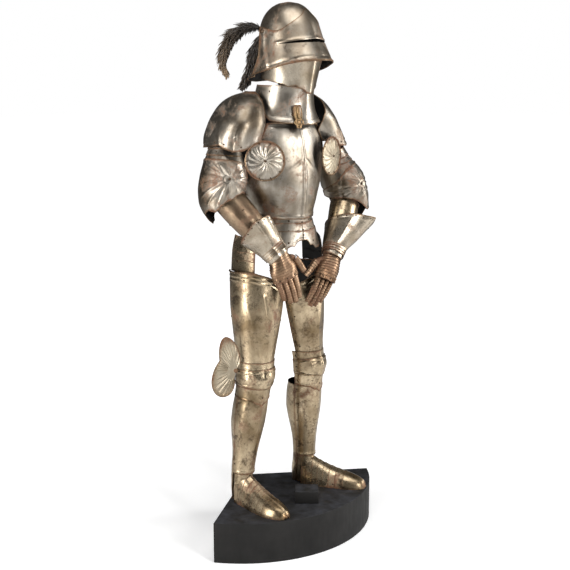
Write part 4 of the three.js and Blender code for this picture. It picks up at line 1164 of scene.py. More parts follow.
# %% [markdown]
# ## Pauldrons
# A pauldron is one big plate over the shoulder with a wing in front and behind, rolled round the edge and cut
# in two shallow arches below. A few flutes run up from its lower edge. The left one is narrower.

# %% Pauldrons
PAULDRON_LOW = [(-214, 1330), (-190, 1304), (-130, 1308), (-93, 1314), (-80, 1318), (-67, 1323), (-58, 1314),
                (-49, 1309),
                (-32, 1301), (-10, 1303), (0, 1311), (30, 1328), (56, 1350)]
PAULDRONS = {
    "right": (SHOULDER_RIGHT, (-214, 56), [(-214, 1470), (-190, 1496), (16, 1496), (36, 1468), (56, 1400)]),
    "left": (SHOULDER_LEFT, (-196, 28),
             [(-196, 1440), (-170, 1496), (-46, 1496), (-20, 1460), (8, 1398), (28, 1364)])}
for name, side in SIDES.items():
    rows, span, high = PAULDRONS[name]
    relief = together(
        crease([(-34, 1388), (-33, 1360), (-30, 1335), (-28, 1304)], (0.2, 4.2), 3.6, 1.7),
        crease([(-67, 1326), (-70, 1350), (-76, 1380)], (2.0, 0.1), 4.0, 1.7),
        crease([(-140, 1312), (-140, 1350), (-138, 1388)], (3.4, 0.1), 4.0, 1.7),
        crease(beside(PAULDRON_LOW, 8, np.linspace(*span, 40)), -0.9, 3.0, 1.6))
    shoulder = plate(rows, span, [PAULDRON_LOW, high], CHEST, side, cell=4.5, relief=relief)
    rolls = [roll(rows, span, PAULDRON_LOW, CHEST, side, radius=1.6, step=2),
             roll(rows, span, high, CHEST, side, radius=2.0, step=2)]
    rolls += end_rolls(rows, span, (PAULDRON_LOW, high), CHEST, side, radius=2.2)
    finish_piece(f"pauldron_{name}_plate", [shoulder, *edged(rolls)], "bright_steel",
                 [f"pauldron_{name}"])
    rivet(rows, beside(PAULDRON_LOW, 13, (-150, -110, -78, -55, -15)), CHEST, side, size=2.6)
print("pauldrons", made["pauldron_right_plate"], made["pauldron_left_plate"], "triangles")

# %% [markdown]
# ## Upper arm lames and elbows
# Three lames with brassy borders close the upper arm. The couter is one fluted shell round the elbow: its
# flutes fan out from the point of the elbow like the ribs of a scallop, out to a cusped edge.

# %% Rerebraces
REREBRACE_LOW = {
    "right": [(-180, 106), (-90, 94), (0, 94), (30, 70), (56, 48), (84, 40), (112, 70), (180, 106)],
    "left": [(-180, 106), (-90, 94), (-5, 94), (36, 80), (58, 62), (96, 50), (130, 74), (180, 106)]}
for name, side in SIDES.items():
    place, top = PLACES["upper_arm", name], 168 if side < 0 else 176
    laps = [REREBRACE_LOW[name], [(-180, 124), (-90, 118), (0, 124), (90, 140), (180, 124)],
            [(-180, 142), (-90, 142), (0, 144), (90, 154), (180, 142)], top]
    arm_lames = plate(UPPER_ARM, (-180, 180), lame_edges(laps), place, side, cell=4.6,
                      relief=lapped(laps, 2.0))
    borders = [roll(UPPER_ARM, (-180, 180), edge, place, side, lift=1.6, radius=1.3, step=6)
               for edge in laps[1:3]]
    finish_piece(f"rerebrace_{name}_lames", [arm_lames, *edged(borders, "old_brass")], "bright_steel",
                 [f"rerebrace_{name}"])
    rivet(UPPER_ARM, [(-70, 132), (-70, 152), (-20, 134), (-20, 154)], place, side, out=WALL + 1.2, size=2.4)
print("rerebrace lames", made["rerebrace_right_lames"], "triangles")

# %% Couters
COUTERS = {
    "right": {
        "span": (-215, 84), "hub": (-28, 44),
        "low": [(-215, -60), (-190, -98), (-160, -110), (-130, -98), (-110, -82), (-81, -68), (-56, -72),
                (-40, -54), (-24, -31),
                (-10, -22), (0, -8), (22, 4), (36, 2), (51, 6), (68, 8), (84, 14)],
        "high": [(-215, 30), (-180, 76), (-120, 104), (-30, 106), (8, 104), (30, 82), (56, 56), (84, 34)],
        "fan": [(-112, 92), (-84, 98), (-62, 92), (-36, 100), (-6, 100), (20, 86), (50, 60), (74, 38),
                (60, 12), (36, 8), (2, -2),
                (-24, -28), (-48, -62), (-84, -60), (-112, -40), (-122, 6), (-124, 52)]},
    "left": {
        "span": (-190, 109), "hub": (-6, 34),
        "low": [(-190, -60), (-165, -98), (-135, -110), (-105, -98), (-85, -82), (-56, -70), (-14, -70),
                (-2, -56), (12, -31),
                (30, -6), (45, 8), (62, 16), (85, 24), (109, 36)],
        "high": [(-190, 30), (-155, 76), (-95, 104), (-5, 106), (20, 102), (36, 91), (58, 75), (109, 56)],
        "fan": [(-90, 92), (-62, 98), (-38, 92), (-12, 100), (16, 98), (38, 84), (66, 66), (96, 50),
                (84, 30), (56, 18), (28, -2),
                (4, -34), (-22, -62), (-60, -60), (-88, -40), (-98, 6), (-100, 52)]}}
ARM_DEGREE = 1.35
for name, side in SIDES.items():
    place, couter = PLACES["upper_arm", name], COUTERS[name]
    hub = np.array(couter["hub"], float)
    ribs = [crease([hub + 0.14 * (np.array(end) - hub), hub + 0.9 * (np.array(end) - hub)], (3.4, 1.6), 3.6,
                   ARM_DEGREE)
            for end in couter["fan"]]
    edges = [couter["low"], couter["high"]]
    ribs += [crease([(couter["span"][0] + step, -50), (couter["span"][0] + step, 68)], 2.4, 4.0, ARM_DEGREE)
             for step in (34, 62)]
    inner_fold = crease([hub + (44, 46), hub + (60, 4), hub + (62, -30)], -2.4, 5.0, ARM_DEGREE)
    skin = plate(UPPER_ARM, couter["span"], edges, place, side, lift=3, cell=3.4,
                 relief=together(*ribs, inner_fold))
    rolls = [roll(UPPER_ARM, couter["span"], edge, place, side, lift=3, radius=1.5, step=2.4)
             for edge in edges]
    rolls += end_rolls(UPPER_ARM, couter["span"], edges, place, side, lift=3, radius=1.5)
    finish_piece(f"couter_{name}_shell", [skin, *edged(rolls)], "bright_steel",
                 [f"couter_{name}"])
    rivet(UPPER_ARM, [couter["hub"]], place, side, out=6.0, size=3.6)
print("couter", made["couter_right_shell"], "triangles")

# %% [markdown]
# ## Forearms and gauntlets
# The vambrace is a tube with a hinge line. The gauntlet's cuff flares to a point over the forearm, with a row
# of rivets along its edge. Narrow lames let the wrist bend, and scales like a lobster's tail cover each
# finger, in steel that has gone brown all over.

# %% Vambraces
VAMBRACE_TOPS = {
    "right": [(-180, 268), (-20, 262), (18, 258), (67, 252), (112, 256), (157, 264), (180, 268)],
    "left": [(-180, 232), (-90, 236), (0, 228), (45, 222), (90, 216), (135, 222), (180, 232)]}
for name, side in SIDES.items():
    place = PLACES["forearm", name]
    seam = together(crease([(-96, 40), (-96, 216)], -1.2, 2.0, 0.85),
                    crease([(-20, 40), (-24, 206)], 1.6, 5.0, 0.85))
    top = VAMBRACE_TOPS[name]
    tube = plate(FOREARM, (-180, 180), [30, top], place, side, cell=4.6, relief=seam)
    rolls = [roll(FOREARM, (-180, 180), edge, place, side, radius=1.7, step=6) for edge in (31, top)]
    skin = "copper_steel" if side < 0 else "leg_steel"
    finish_piece(f"vambrace_{name}_tube", [tube, *edged(rolls)], skin,
                 [f"vambrace_{name}"])
    rivet(FOREARM, [(-86, 60), (-86, 190), (-106, 60), (-106, 190), (10, 196)], place, side, size=2.6)
print("vambrace", made["vambrace_right_tube"], "triangles")

# %% Gauntlet cuffs
CUFF_TOPS = {
    "right": [(-180, 112), (-90, 114), (-56, 124), (-28, 129), (0, 138), (28, 131), (58, 127), (90, 116),
              (180, 112)],
    "left": [(-180, 118), (-90, 126), (-26, 160), (0, 173), (28, 158), (61, 146), (106, 129), (180, 118)]}
CUFF_RIVETS = (-150, -120, -96, -74, -52, -32, -12, 12, 32, 52, 74, 96, 120, 150)
for name, side in SIDES.items():
    place, top = PLACES["forearm", name], CUFF_TOPS[name]
    laps = [6, 15, 24, 33, top]
    relief = together(
        lapped(laps[:4], 1.8),
        crease([(0, 34), *beside(top, 0, [0])], (1.0, 3.4), 4.0, 1.2),
        *[crease([(a, 34), (a, 127)], (0.6, 2.4), 3.4, 1.2) for a in (-58, 58)],
        crease(beside(top, -14, range(-180, 181, 10)), 1.0, 2.6, 1.3))
    cuff = plate(CUFF, (-180, 180), lame_edges(laps), place, side, cell=3.8, relief=relief)
    rim_roll = roll(CUFF, (-180, 180), top, place, side, radius=1.3, step=4)
    wrist_lame = plate(CUFF, (-180, 180), [-9, 10], place, side, lift=-3, cell=3.4)
    finish_piece(f"cuff_{name}_flare", [cuff, wrist_lame, *edged([rim_roll])], "cuff_steel",
                 [f"cuff_{name}"])
    rivet(CUFF, beside(top, -7, CUFF_RIVETS), place, side, size=2.3)
print("cuff", made["cuff_right_flare"], "triangles")

# %% Hands, fingers and thumbs


def bowed(level, drop):
    """The edge of a lame that bows over the back of the hand."""
    return mirrored([(0, level), (30, level - drop * 0.1), (60, level - drop * 0.45), (112, level - drop)])


HAND_LAMES = [(-76, 2), (-64, 4), (-54, 6), (-44, 8), (-34, 9), (-24, 9), (-14, 9), (-5, 8), (4, 4)]
WEB_PATH = [(26, 2, -16), (38, 4, -24), (48, 7, -31), (55, 8, -38)]
for name, side in SIDES.items():
    place = PLACES["hand", name]
    laps = [-90, *[bowed(*lame) for lame in HAND_LAMES], 12]
    knuckles = [crease([(a, -88), (a, -74)], 3.6, 4.5, 0.72) for a in (-54, -20, 16, 50)]
    back_of_hand = plate(HAND, (-112, 112), lame_edges(laps), place, side, cell=2.3,
                         relief=together(lapped(laps, 2.4), *knuckles))
    web = rod(to_world([(-side * x, y, z) for x, y, z in WEB_PATH], place), [9, 12, 12.5, 11], 14, flat=0.8)
    finish_piece(f"hand_{name}_lames", [back_of_hand, web], "rusted_steel",
                 [f"hand_plate_{name}"], smooth=26)
    rivet(HAND, [(a, z) for a in (-92, 92) for z in (-58, -38, -18)] + [(a, -82) for a in (-37, -2, 33)],
          place, side,
          out=WALL + 1.8, size=2.4)
    for order, (finger, reach) in enumerate(FINGER_REACH.items()):
        x = 33 - 22 * order
        rows = [[KNUCKLE - reach, x * 0.84, 22, 8, 8, 6, 0, 2],
                [KNUCKLE - reach * 0.55, x * 0.92, 8, 9, 10, 7, 0, 2],
                [KNUCKLE, x, 2, 9.5, 12, 8, 0, 2]]
        laps = [mirrored([(0, z + 2), (40, z), (105, z - 4)])
                for z in np.linspace(KNUCKLE - reach, KNUCKLE, 12)[1:-1]]
        laps = [KNUCKLE - reach, *laps, KNUCKLE]
        scales = plate(rows, (-105, 105), lame_edges(laps), place, side, cell=2.0, wall=1.0,
                       relief=together(lapped(laps, 2.2),
                                       crease([(0, laps[0]), (0, laps[-1])], 1.6, 2.0, 0.16)))
        finish_piece(f"finger_{finger}_{name}_scales", [scales], "rusted_steel",
                     [f"finger_{finger}_{name}"], smooth=26)
    laps = list(np.linspace(-72, 0, 8))
    scales = plate(THUMB, (-105, 105), lame_edges(laps), PLACES["thumb", name], side, cell=2.2, wall=1.0,
                   relief=lapped(laps, 2.2))
    finish_piece(f"thumb_{name}_scales", [scales], "rusted_steel", [f"thumb_{name}"],
                 smooth=26)
print("hand", made["hand_right_lames"], "finger", made["finger_index_right_scales"], "triangles")

# %% [markdown]
# ## Besagews
# A round plate hangs before each armpit. Its flutes swirl from the middle, and its rim is worked like rope.
# The disc is a polar grid, raised by a profile and rippled by the swirl, because a flat disc with a bump
# would lose the ripple at its edge.

# %% Besagews
DISC_RADIUS = 70
DISC_PROFILE = [(0, 10), (10, 9.3), (35, 7), (56, 2.4), (64, 1), (66, 3), (69, 3), (70, 1.5)]
SWIRLS = 15


def swirled_disc(place):
    """A dished disc, 1.5 mm thick, with flutes that turn as they leave the middle."""
    radii, turns = np.linspace(0.6, DISC_RADIUS, 38), np.linspace(0, 2 * math.pi, 135, endpoint=False)
    r, t = np.meshgrid(radii, turns, indexing="ij")
    height = np.interp(r, *zip(*DISC_PROFILE))
    wave = np.abs(np.sin(0.5 * (SWIRLS * t + 1.9 * r / DISC_RADIUS * math.pi)))
    height = height + 2.6 * (wave - 0.4) * np.clip((r - 3) / 16, 0, 1) * np.clip((60 - r) / 6, 0, 1)
    points = [np.stack([r * np.cos(t), -skin, r * np.sin(t)], -1).reshape(-1, 3)
              for skin in (height, height - WALL)]
    points.append(np.array([[0, -10, 0], [0, -10 + WALL, 0]]))
    rings, count = r.shape
    size = r.size
    front_faces = ring_quads(rings, count)
    faces = front_faces + [[v + size for v in face[::-1]] for face in front_faces]
    outer = list(range(size - count, size))
    faces += [[a, b, b + size, a + size] for a, b in zip(outer, outer[1:] + outer[:1])]
    faces += [face[::-1] for face in fan(2 * size, list(range(count)))]
    faces += fan(2 * size + 1, list(range(size, size + count)))
    rim = np.tile(np.clip((r - 58) / 8, 0, 1).reshape(-1), 2)
    inside = np.repeat([0.0, 1.0], size)
    return shell(to_world(np.concatenate(points), place), faces, np.append(rim, [0, 0]),
                 np.append(inside, [0, 1]))


BESAGEWS = {"right": ((-173, -127, 1268), (-0.62, -0.79, 0)), "left": ((128, -148, 1270), (0.28, -0.96, 0))}
for name, side in SIDES.items():
    centre, facing = BESAGEWS[name]
    place = along(FIGURE, centre, (0, 0, 1), facing)
    turns = np.linspace(0, 2 * math.pi, 180, endpoint=False)
    hoop = np.stack([67.4 * np.cos(turns), np.full(180, -2.4), 67.4 * np.sin(turns)], -1)
    rope = rod(to_world(hoop, place), 2.3 + 0.55 * np.sin(turns * 45), 8, closed=True)
    steel = "bright_steel" if side < 0 else "pale_steel"
    finish_piece(f"besagew_{name}_disc", [swirled_disc(place), *edged([rope])], steel,
                 [f"besagew_{name}"])
    for turn in np.linspace(0, 2 * math.pi, 10, endpoint=False):
        spot = to_world([(61.5 * math.cos(turn), -2.2, 61.5 * math.sin(turn))], place)[0]
        RIVETS["suit"].append((spot, -place[:3, 1], 2.4))
    RIVETS["suit"].append((to_world([(0, -9.6, 0)], place)[0], -place[:3, 1], 4.2))
print("besagew", made["besagew_right_disc"], "triangles")
# %% [markdown]
# ## Thighs and knees
# Each cuisse has a thick roll round its top with two grooves below, and a V of flutes that runs down to the
# knee. The knee is a cap between two narrow lames, and its wing guards the tendon behind.

# %% Cuisses
CUISSE_TOP = [(-130, 862), (-43, 870), (-10, 852), (20, 826), (50, 802), (78, 792)]
LEG_SPAN = (-130, 78)


def below(edge, drop, span, step=6):
    """A line that keeps one distance below an edge."""
    return beside(edge, -drop, np.arange(span[0], span[1] + 0.1, step))


def leg_table(name, side):
    """The leg's sections as plate() reads them, which mirrors the left leg."""
    rows = leg_rows(LEGS[name])
    return rows if side < 0 else [[row[0], -row[1], *row[2:]] for row in rows]


for name, side in SIDES.items():
    rows, place = leg_table(name, side), PLACES["leg", name]
    flutes = [crease([(-19, 786), (-8, 706), (0, 636), (0, 545)], (3.0, 2.2), 4.5, 1.3),
              crease([(8, 770), (5, 706), (0, 636)], (3.0, 1.6), 4.5, 1.3),
              crease([(-62, 800), (-40, 690), (-22, 560)], (0.4, 1.8), 4.5, 1.3),
              crease([(52, 770), (30, 670), (20, 560)], (0.4, 1.6), 4.5, 1.3)]
    grooves = [crease(below(CUISSE_TOP, drop, LEG_SPAN), height, 2.6, 1.4)
               for drop, height in ((14, 1.6), (21, -1.2), (28, 1.6))]
    edge = crease([(a, 533) for a in range(-130, 80, 12)], 1.2, 3.0, 1.3)
    thigh = plate(rows, LEG_SPAN, [526, CUISSE_TOP], place, side, cell=4.8,
                  relief=together(*flutes, *grooves, edge))
    rolls = [roll(rows, LEG_SPAN, CUISSE_TOP, place, side, radius=3.2, step=2.5)]
    rolls += [side_roll(rows, a, (528, z), place, side, radius=1.8, count=50)
              for a, z in ((-130, 861), (78, 791))]
    finish_piece(f"cuisse_{name}_plate", [thigh, *edged(rolls)], "leg_steel",
                 [f"cuisse_{name}"])
    rivet(rows, [(-112, 560), (-112, 700), (-112, 830), (62, 560), (62, 680), (-98, 838), (-60, 842)], place,
          side, size=2.6)
print("cuisse", made["cuisse_right_plate"], "triangles")

# %% Knee caps and lames
KNEE_SPAN = (-117, 91)
KNEE_PARTS = [
    ("knee_lame_upper", [(-117, 506), (-20, 508), (0, 502), (20, 508), (91, 506)], 540, 2.8),
    ("poleyn", [(-117, 452), (0, 442), (91, 452)], [(-117, 508), (0, 516), (91, 508)], 5.8),
    ("knee_lame_lower", [(-117, 408), *mirrored([(0, 376), (8, 386), (20, 388), (34, 398)]), (91, 408)], 452,
     3)]
for name, side in SIDES.items():
    rows, place = leg_table(name, side), PLACES["leg", name]
    for node, low, high, lift in KNEE_PARTS:
        if node == "poleyn":
            relief = together(crease([(0, 446), (0, 512)], 3.0, 5.0, 1.1),
                              crease(below(high, 9, KNEE_SPAN), 1.8, 2.4, 1.1),
                              crease([(a, z + 9) for a, z in low], 1.8, 2.4, 1.1),
                              *[crease([(k * 40, 456), (k * 34, 480), (k * 40, 504)], 1.2, 4.0, 1.1)
                                for k in (-1, 1)])
        else:
            relief = crease([(a, z + 6) for a, z in low], -1.0, 2.4, 1.1)
        cap = plate(rows, KNEE_SPAN, [low, high], place, side, lift=lift, cell=2.9, relief=relief)
        rim_edge = roll(rows, KNEE_SPAN, low, place, side, lift=lift - 0.3, radius=1.3, step=2)
        finish_piece(f"{node}_{name}_cap", [cap, *edged([rim_edge])], "leg_steel",
                     [f"{node}_{name}"])
    rivet(rows, [(-104, 522), (80, 522), (-104, 424), (80, 424), (0, 410)], place, side, out=WALL + 2.9,
          size=2.4)
    rivet(rows, [(-104, 480), (80, 480)], place, side, out=WALL + 5.8, size=2.8)
print("knee cap", made["poleyn_right_cap"], "triangles")

# %% [markdown]
# ## Knee wings
# A wing is a flat fan of two lobes with fine flutes that spread from its root. It is a fan grid: rays from
# the root to the outline, raised in ripples, with the same ripples in its back skin.

# %% Knee wings
WING = {"angle": -78, "level": 505, "clearance": 9}


def bezier(*points, count=14):
    """Points along one cubic curve between four given ones."""
    points = np.array(points, float)
    t = np.linspace(0, 1, count)[:, None]
    weights = [(1 - t) ** 3, 3 * t * (1 - t) ** 2, 3 * t ** 2 * (1 - t), t ** 3]
    return sum(weight * point for weight, point in zip(weights, points))


WING_OUTLINE = np.vstack([
    bezier((20, -34), (22, -80), (46, -96), (68, -95))[:-1],
    bezier((68, -95), (100, -92), (112, -48), (98, -8))[:-1],
    bezier((98, -8), (93, 12), (83, 26), (74, 40))[:-1],
    bezier((74, 40), (78, 76), (74, 124), (50, 128))[:-1],
    bezier((50, 128), (20, 126), (-6, 74), (0, 26))])
WING_ROOT = np.array([18, 4])
WING_WALL = 1.4
WING_BOSS = [(-1, 9), (1.5, 8), (4.5, 5), (6, 2)]
WING_FRONT, WING_ACROSS, UPRIGHT = np.array([-0.6, -0.8, 0]), np.array([-0.8, 0.6, 0]), np.array([0, 0, 1.0])


def wing_heights(shares):
    """How far the fan stands proud along each ray: ripples that die out, and a raised rim."""
    ray_number = np.arange(len(WING_OUTLINE))
    shares = shares[:, None]
    ripple = 1.6 * np.cos(ray_number * 2 * math.pi / 2.9) * np.clip((shares - 0.25) / 0.25, 0, 1)
    ripple = ripple * np.clip((1 - shares) / 0.08, 0, 1)
    return 1.2 + ripple + 1.6 * np.clip((shares - 0.88) / 0.12, 0, 1)


def wing_shell(hub, place, side):
    """The fan: both skins on one grid of rays, closed round its border."""
    shares = np.linspace(0.03, 1, 24)
    flat = WING_ROOT + shares[:, None, None] * (WING_OUTLINE - WING_ROOT)
    height = wing_heights(shares)
    across = flat[..., 0, None] * WING_ACROSS + flat[..., 1, None] * UPRIGHT
    skins = [(hub + across + out[..., None] * WING_FRONT).reshape(-1, 3)
             for out in (height, height - WING_WALL)]
    number = np.arange(height.size).reshape(height.shape)
    size = height.size
    corners = number[:-1, :-1], number[:-1, 1:], number[1:, 1:], number[1:, :-1]
    front_faces = np.stack(corners, -1).reshape(-1, 4).tolist()
    faces = front_faces + [[v + size for v in face[::-1]] for face in front_faces]
    border = [*number[:, 0], *number[-1, 1:], *number[-2::-1, -1], *number[0, -2:0:-1]]
    border = [int(v) for v in border]
    faces += [[a, b, b + size, a + size] for a, b in zip(border, border[1:] + border[:1])]
    rim = np.broadcast_to(np.clip((shares - 0.7) / 0.3, 0, 1)[:, None], height.shape).reshape(-1)
    return shell(to_world(np.concatenate(skins), place, side), faces, np.tile(rim, 2),
                 np.repeat([0.0, 1.0], size))


for name, side in SIDES.items():
    rows, place, spot = leg_table(name, side), PLACES["leg", name], (WING["angle"], WING["level"])
    hub = form_point(rows, *spot) + form_normal(rows, *spot) * WING["clearance"]
    edge_path = hub + WING_OUTLINE[:, :1] * WING_ACROSS + WING_OUTLINE[:, 1:] * UPRIGHT + 2.2 * WING_FRONT
    lip = rod(to_world(edge_path, place, side), 1.3, 7)
    boss_foot = hub + WING_ACROSS * 16 + UPRIGHT * 4.0
    boss_path = [boss_foot + WING_FRONT * out for out, _ in WING_BOSS]
    boss = rod(to_world(boss_path, place, side), [radius for _, radius in WING_BOSS], 16)
    finish_piece(f"wing_{name}_fan", [wing_shell(hub, place, side), boss, *edged([lip])], "pale_steel",
                 [f"knee_wing_{name}"])
print("knee wing", made["wing_right_fan"], "triangles")

# %% [markdown]
# ## Greaves and sabatons
# Two half shells close round the calf, with a thin plate round the ankle under them. The front one has a
# sharp shin ridge, the back one is cut up over the heel. The sabaton is a row of thin lames. Each laps over
# the one behind it, and its rear edge is raised.

# %% Greaves
BACK_LOW = [(91, 106), (97, 72), (104, 40), (107, 4), (248, 4), (252, 40), (260, 72), (269, 106)]
FRONT_TOP = [(-91, 404), (-40, 412), (0, 420), (40, 412), (91, 404)]
for name, side in SIDES.items():
    rows, place = leg_table(name, side), PLACES["leg", name]
    shin = together(crease([(-3, 128), (-3, 412)], 1.6, 1.8, 1.0),
                    crease([(4, 128), (4, 412)], 1.6, 1.8, 1.0),
                    crease(below(FRONT_TOP, 8, (-91, 91)), 1.6, 2.4, 1.0),
                    crease([(a, 120) for a in range(-91, 92, 12)], 1.6, 3.0, 0.8))
    front_shell = plate(rows, (-91, 91), [112, FRONT_TOP], place, side, cell=4.2, relief=shin)
    rolls = [roll(rows, (-91, 91), edge, place, side, radius=1.6, step=3) for edge in (113, FRONT_TOP)]
    finish_piece(f"greave_{name}_shin", [front_shell, *edged(rolls)], "leg_steel",
                 [f"greave_front_{name}"])
    calf = crease([(180, 20), (180, 392)], 1.6, 5.0, 1.0)
    back_shell = plate(rows, (91.4, 268.6), [BACK_LOW, 404], place, side, cell=5.4, relief=calf)
    rolls = [roll(rows, (91.4, 268.6), edge, place, side, radius=1.6, step=3) for edge in (BACK_LOW, 403)]
    ankle_plate = plate(rows, (-112, 112), [5, 116], place, side, lift=-3.5, cell=5)
    finish_piece(f"greave_{name}_calf", [back_shell, ankle_plate, *edged(rolls)], "leg_steel",
                 [f"greave_back_{name}"])
    rivet(rows, [(a, z) for a in (-82, 82) for z in (150, 260, 385)], place, side, size=2.6)
    for z in (170, 372):
        pin = rod(on_form(rows, [-91.2, -91.2], [z - 9, z + 9], place, side, 2.4), 2.2, 8)
        finish_piece(f"greave_{name}_hinge_{z}", [pin], "brown_edge")
print("greave", made["greave_right_shin"] + made["greave_right_calf"], "triangles")

# %% Sabatons
# level at the sides and in the middle of each lap
SABATON_LAPS = [(82, 76), (106, 98), (128, 121), (148, 144), (172, 168), (198, 195), (228, 224)]
LAME_LINES = [60, *[[(-90, side_z), (0, middle_z), (90, side_z)] for side_z, middle_z in SABATON_LAPS], 305]
for name, side in SIDES.items():
    place = PLACES["foot", name]
    relief = together(lapped(LAME_LINES, 2.0), crease([(0, 70), (0, 296)], 2.2, 3.4, 0.8))
    foot = plate(FOOT, (-90, 90), lame_edges(LAME_LINES), place, side, cell=3.3, relief=relief)
    lips = [roll(FOOT, (-90, 90), line, place, side, lift=1.8, radius=0.9, step=4)
            for line in LAME_LINES[1:-1]]
    toe = rod(to_world([(0, -6, z) for z in (299, 303, 307, 309)], place, side), [7.6, 7.8, 5.4, 1.5], 16,
              flat=0.8,
              up=(0, 1, 0))
    finish_piece(f"sabaton_{name}_lames", [foot, toe, *edged(lips)], "leg_steel",
                 [f"sabaton_{name}"])
    rivet(FOOT, [(a, z) for a in (-76, 76) for z in (118, 140, 164, 190, 218)], place, side, out=WALL + 1.5,
          size=2.2)
print("sabaton", made["sabaton_right_lames"], "triangles")
# %% [markdown]
# ## Plume
# Three ostrich feathers stand in a small brass socket behind the helmet. A feather is a bent quill with
# hundreds of fine barbs on both sides that droop towards the tip. One tree of nodes makes all the barbs: each
# is a flat tapered leaf, set on the quill's points, turned and scaled by chance with fixed seeds. Hair would
# be truer, but this stays one closed mesh that a library can carry.

# %% Plume
PLUME_BASE = (0, 62, 1712)
FEATHERS = {
    "back": ((-0.5, 0.866), 23,
             [(13, 8), (44, 14), (82, 10), (124, -14), (152, -58), (160, -106), (146, -152)]),
    "right": ((-0.62, 0.78), 21, [(13, -14), (24, -34), (36, -62), (46, -102), (62, -150), (84, -192)]),
    "left": ((0.92, 0.4), 21, [(13, 2), (44, -6), (88, -42), (126, -100), (156, -160), (176, -215)])}


def smooth_path(points, count):
    """Points on a smooth curve that runs through a few given ones."""
    points = np.array(points, float)
    padded = np.vstack([2 * points[0] - points[1], points, 2 * points[-1] - points[-2]])
    out = []
    for s in np.linspace(0, len(points) - 1 - 1e-6, count):
        i = int(s)
        t = s - i
        p0, p1, p2, p3 = padded[i:i + 4]
        square, cube = 2 * p0 - 5 * p1 + 4 * p2 - p3, 3 * p1 - p0 - 3 * p2 + p3
        out.append(0.5 * (2 * p1 + (p2 - p0) * t + square * t * t + cube * t ** 3))
    return np.array(out)


def leaf_mesh():
    """One barb, 1 m long along +Z, with a folded section that closes on itself."""
    mesh = bpy.data.meshes.new("barb")
    rows = [(0, 0.030), (0.3, 0.084), (0.65, 0.070), (0.9, 0.034)]
    points = [(0, 0, -0.02)]
    for z, half in rows:
        sag = -0.16 * z * z
        points += [(-half, sag, z), (0, sag + half * 0.5, z), (half, sag, z), (0, sag - half * 0.3, z)]
    points.append((0, -0.16, 1.0))
    last = len(points) - 1
    faces = [face[::-1] for face in fan(0, [1, 2, 3, 4])] + ring_quads(len(rows), 4, first=1)
    faces += fan(last, list(range(last - 4, last)))
    mesh.from_pydata(points, [], outward(points, faces))
    return mesh


def new_socket(tree, label, kind, value=None):
    """One input of a node tree's interface, with its value where it has one; returns the identifier."""
    socket = tree.interface.new_socket(label, in_out="INPUT", socket_type=kind)
    if value is not None:
        socket.default_value = value
    return socket.identifier


def scatter_tree(label, material):
    """Sets one object on every point: turn and size come from the points' own attributes."""
    tree = bpy.data.node_groups.new(label, "GeometryNodeTree")
    tree.is_modifier = True
    new_socket(tree, "Points", "NodeSocketGeometry")
    names = {"part": new_socket(tree, "Part", "NodeSocketObject"),
             "jitter": new_socket(tree, "Size jitter", "NodeSocketFloat", 0.25),
             "seed": new_socket(tree, "Seed", "NodeSocketInt", 4)}
    tree.interface.new_socket("Mesh", in_out="OUTPUT", socket_type="NodeSocketGeometry")
    given, target = tree.nodes.new("NodeGroupInput").outputs, tree.nodes.new("NodeGroupOutput").inputs
    spots = add_node(tree, "GeometryNodeMeshToPoints", {"Mesh": given["Points"]}).outputs["Points"]
    part = add_node(tree, "GeometryNodeObjectInfo", {"Object": given["Part"]}).outputs["Geometry"]
    turn, size = [add_node(tree, "GeometryNodeInputNamedAttribute", {"Name": name},
                           data_type=kind).outputs["Attribute"]
                  for name, kind in (("turn", "FLOAT_VECTOR"), ("size", "FLOAT"))]
    least, most, drawn = 2, 3, 1
    chance = add_node(tree, "FunctionNodeRandomValue", {least: -1.0, most: 1.0, "Seed": given["Seed"]},
                      data_type="FLOAT").outputs[drawn]
    spread = math_node(tree, "MULTIPLY_ADD", chance, given["Size jitter"], 1.0)
    wires = {"Points": spots, "Instance": part, "Rotation": turn,
             "Scale": math_node(tree, "MULTIPLY", spread, size)}
    result = add_node(tree, "GeometryNodeInstanceOnPoints", wires).outputs[0]
    for kind, extra in (("GeometryNodeRealizeInstances", {}),
                        ("GeometryNodeSetShadeSmooth", {"Shade Smooth": True}),
                        ("GeometryNodeSetMaterial", {"Material": material})):
        result = add_node(tree, kind, {"Geometry": result, **extra}).outputs[0]
    tree.links.new(result, target["Mesh"])
    return tree, names


def scatter(name, tree_and_names, values, points, attributes):
    """Runs the tree on a cloud of points and returns a plain mesh object."""
    tree, names = tree_and_names
    cloud = bpy.data.meshes.new(name + "_points")
    cloud.from_pydata([tuple(p) for p in points], [], [])
    for label, numbers in attributes.items():
        numbers = np.asarray(numbers, np.float32)
        kind, key = ("FLOAT_VECTOR", "vector") if numbers.ndim == 2 else ("FLOAT", "value")
        cloud.attributes.new(label, kind, "POINT").data.foreach_set(key, numbers.reshape(-1))
    holder = bpy.data.objects.new(name, cloud)
    bpy.context.scene.collection.objects.link(holder)
    modifier = holder.modifiers.new("scatter", "NODES")
    modifier.node_group = tree
    for label, value in values.items():
        modifier[names[label]] = value
    bpy.context.view_layer.update()
    evaluated = holder.evaluated_get(bpy.context.evaluated_depsgraph_get())
    plain = bpy.data.meshes.new_from_object(evaluated)
    plain.name = name
    holder.modifiers.remove(modifier)
    holder.data = plain
    bpy.data.meshes.remove(cloud)
    made[name] = sum(len(face.vertices) - 2 for face in plain.polygons)
    return holder


def turn_towards(facing):
    """The turn that points a part's +Z along a direction."""
    return tuple(Vector(facing).to_track_quat("Z", "Y").to_euler("XYZ"))


def unit(vectors):
    return vectors / np.linalg.norm(vectors, axis=-1, keepdims=True)


print("scatter tree and leaf ready:", len(leaf_mesh().vertices), "points a barb")

